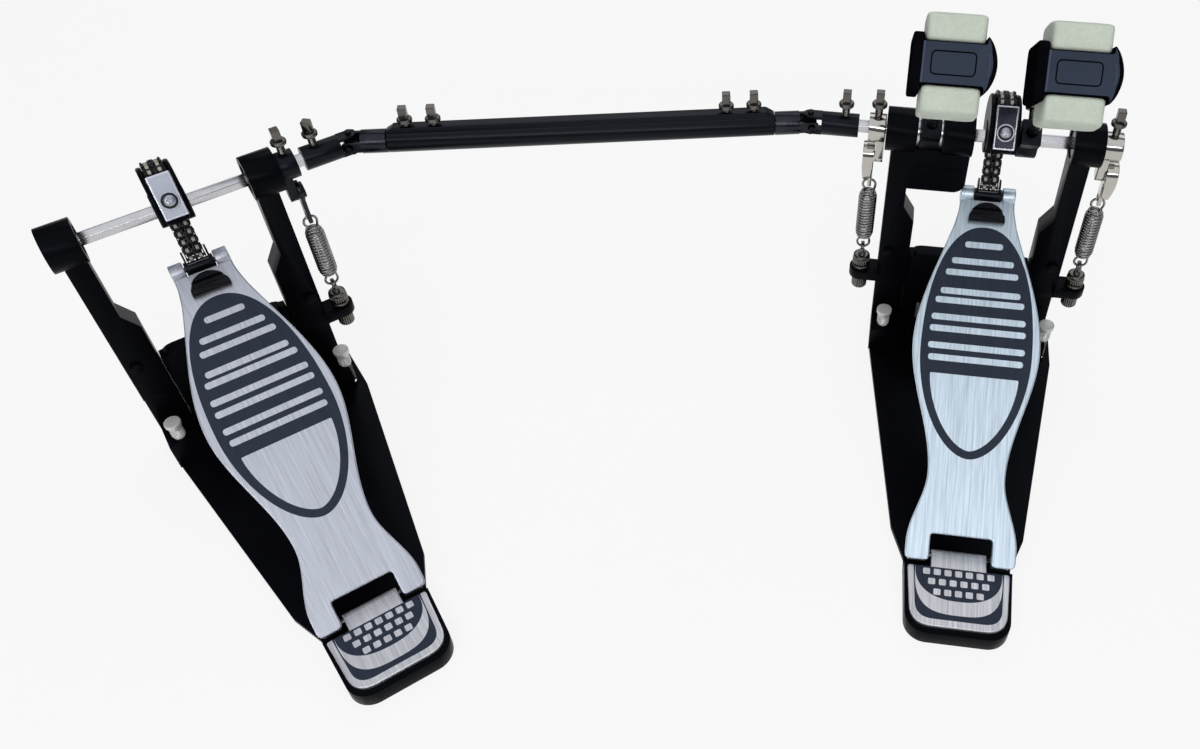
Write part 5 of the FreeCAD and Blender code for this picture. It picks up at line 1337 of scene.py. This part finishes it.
class PEDAL_OT_stage(bpy.types.Operator):
    """Sets the pale floor, the soft light and the camera"""

    bl_idname = "pedal.stage"
    bl_label = "Stage"

    def execute(self, context):
        scene = context.scene
        scene.view_settings.view_transform = "Standard"
        floor_mesh = bpy.data.meshes.new("floor")
        sides = rectangle(-FLOOR_HALF, FLOOR_HALF, -FLOOR_HALF, FLOOR_HALF)
        floor_mesh.from_pydata([(x, y, 0) for x, y in sides], [], [(0, 1, 2, 3)])
        floor = bpy.data.objects.new("floor", floor_mesh)
        scene.collection.objects.link(floor)
        floor.location.z = -FLOOR_DROP
        floor_mesh.materials.append(pale_floor())
        for name, place, size, power in LAMPS:
            lamp = bpy.data.lights.new(name, "AREA")
            lamp.shape, lamp.energy = "RECTANGLE", power
            lamp.size, lamp.size_y = size
            light = bpy.data.objects.new(name, lamp)
            light.location = place
            light.rotation_euler = (LAMP_AIM - Vector(place)).to_track_quat("-Z", "Y").to_euler()
            scene.collection.objects.link(light)
        world = bpy.data.worlds.new("soft_room")
        world.use_nodes = True
        tree = world.node_tree
        way = tree.nodes.new("ShaderNodeTexCoord").outputs["Generated"]
        height = put(tree, "ShaderNodeSeparateXYZ", {0: way}).outputs[2]
        ramp = put(tree, "ShaderNodeMapRange", {"Value": height, "From Min": ROOM_FROM, "From Max": ROOM_TO})
        tone = put(tree, "ShaderNodeMix", {0: ramp.outputs[0], 6: ROOM_LOW, 7: ROOM_HIGH}, data_type="RGBA")
        tree.links.new(tone.outputs[2], tree.nodes["Background"].inputs["Color"])
        scene.world = world
        camera = bpy.data.cameras.new("camera")
        camera.lens, camera.sensor_width = CAMERA_LENS, CAMERA_SENSOR
        camera.shift_x, camera.shift_y = CAMERA_SHIFT
        view = bpy.data.objects.new("camera", camera)
        view.matrix_world = Matrix.Translation(CAMERA_PLACE) @ camera_turn().to_4x4()
        scene.collection.objects.link(view)
        scene.camera = view
        return {"FINISHED"}


OPERATORS = (PEDAL_OT_finishes, PEDAL_OT_frames, PEDAL_OT_shafts, PEDAL_OT_footboards, PEDAL_OT_heel_plates,
             PEDAL_OT_prints, PEDAL_OT_chains, PEDAL_OT_springs, PEDAL_OT_beaters, PEDAL_OT_fasteners,
             PEDAL_OT_stage)


class PEDAL_PT_panel(bpy.types.Panel):
    """Lists the sizes, colours and steps of the pedal"""

    bl_idname = "PEDAL_PT_panel"
    bl_label = "Pedal"
    bl_space_type = "VIEW_3D"
    bl_region_type = "UI"
    bl_category = "Pedal"

    def draw(self, context):
        for group in (context.scene.pedal_sizes, context.scene.pedal_colours):
            for name in group.bl_rna.properties.keys():
                if name not in ("name", "rna_type"):
                    self.layout.prop(group, name)
        for operator in OPERATORS:
            self.layout.operator(operator.bl_idname)


CLASSES = (PedalColours, PedalSizes) + OPERATORS + (PEDAL_PT_panel,)


def register():
    for kind in CLASSES:
        bpy.utils.register_class(kind)
    bpy.types.Scene.pedal_colours = bpy.props.PointerProperty(type=PedalColours)
    bpy.types.Scene.pedal_sizes = bpy.props.PointerProperty(type=PedalSizes)


def unregister():
    del bpy.types.Scene.pedal_sizes
    del bpy.types.Scene.pedal_colours
    for kind in reversed(CLASSES):
        bpy.utils.unregister_class(kind)


def main():
    register()
    for operator in OPERATORS:
        group, name = operator.bl_idname.split(".")
        getattr(getattr(bpy.ops, group), name)()


if __name__ == "__main__":
    main()
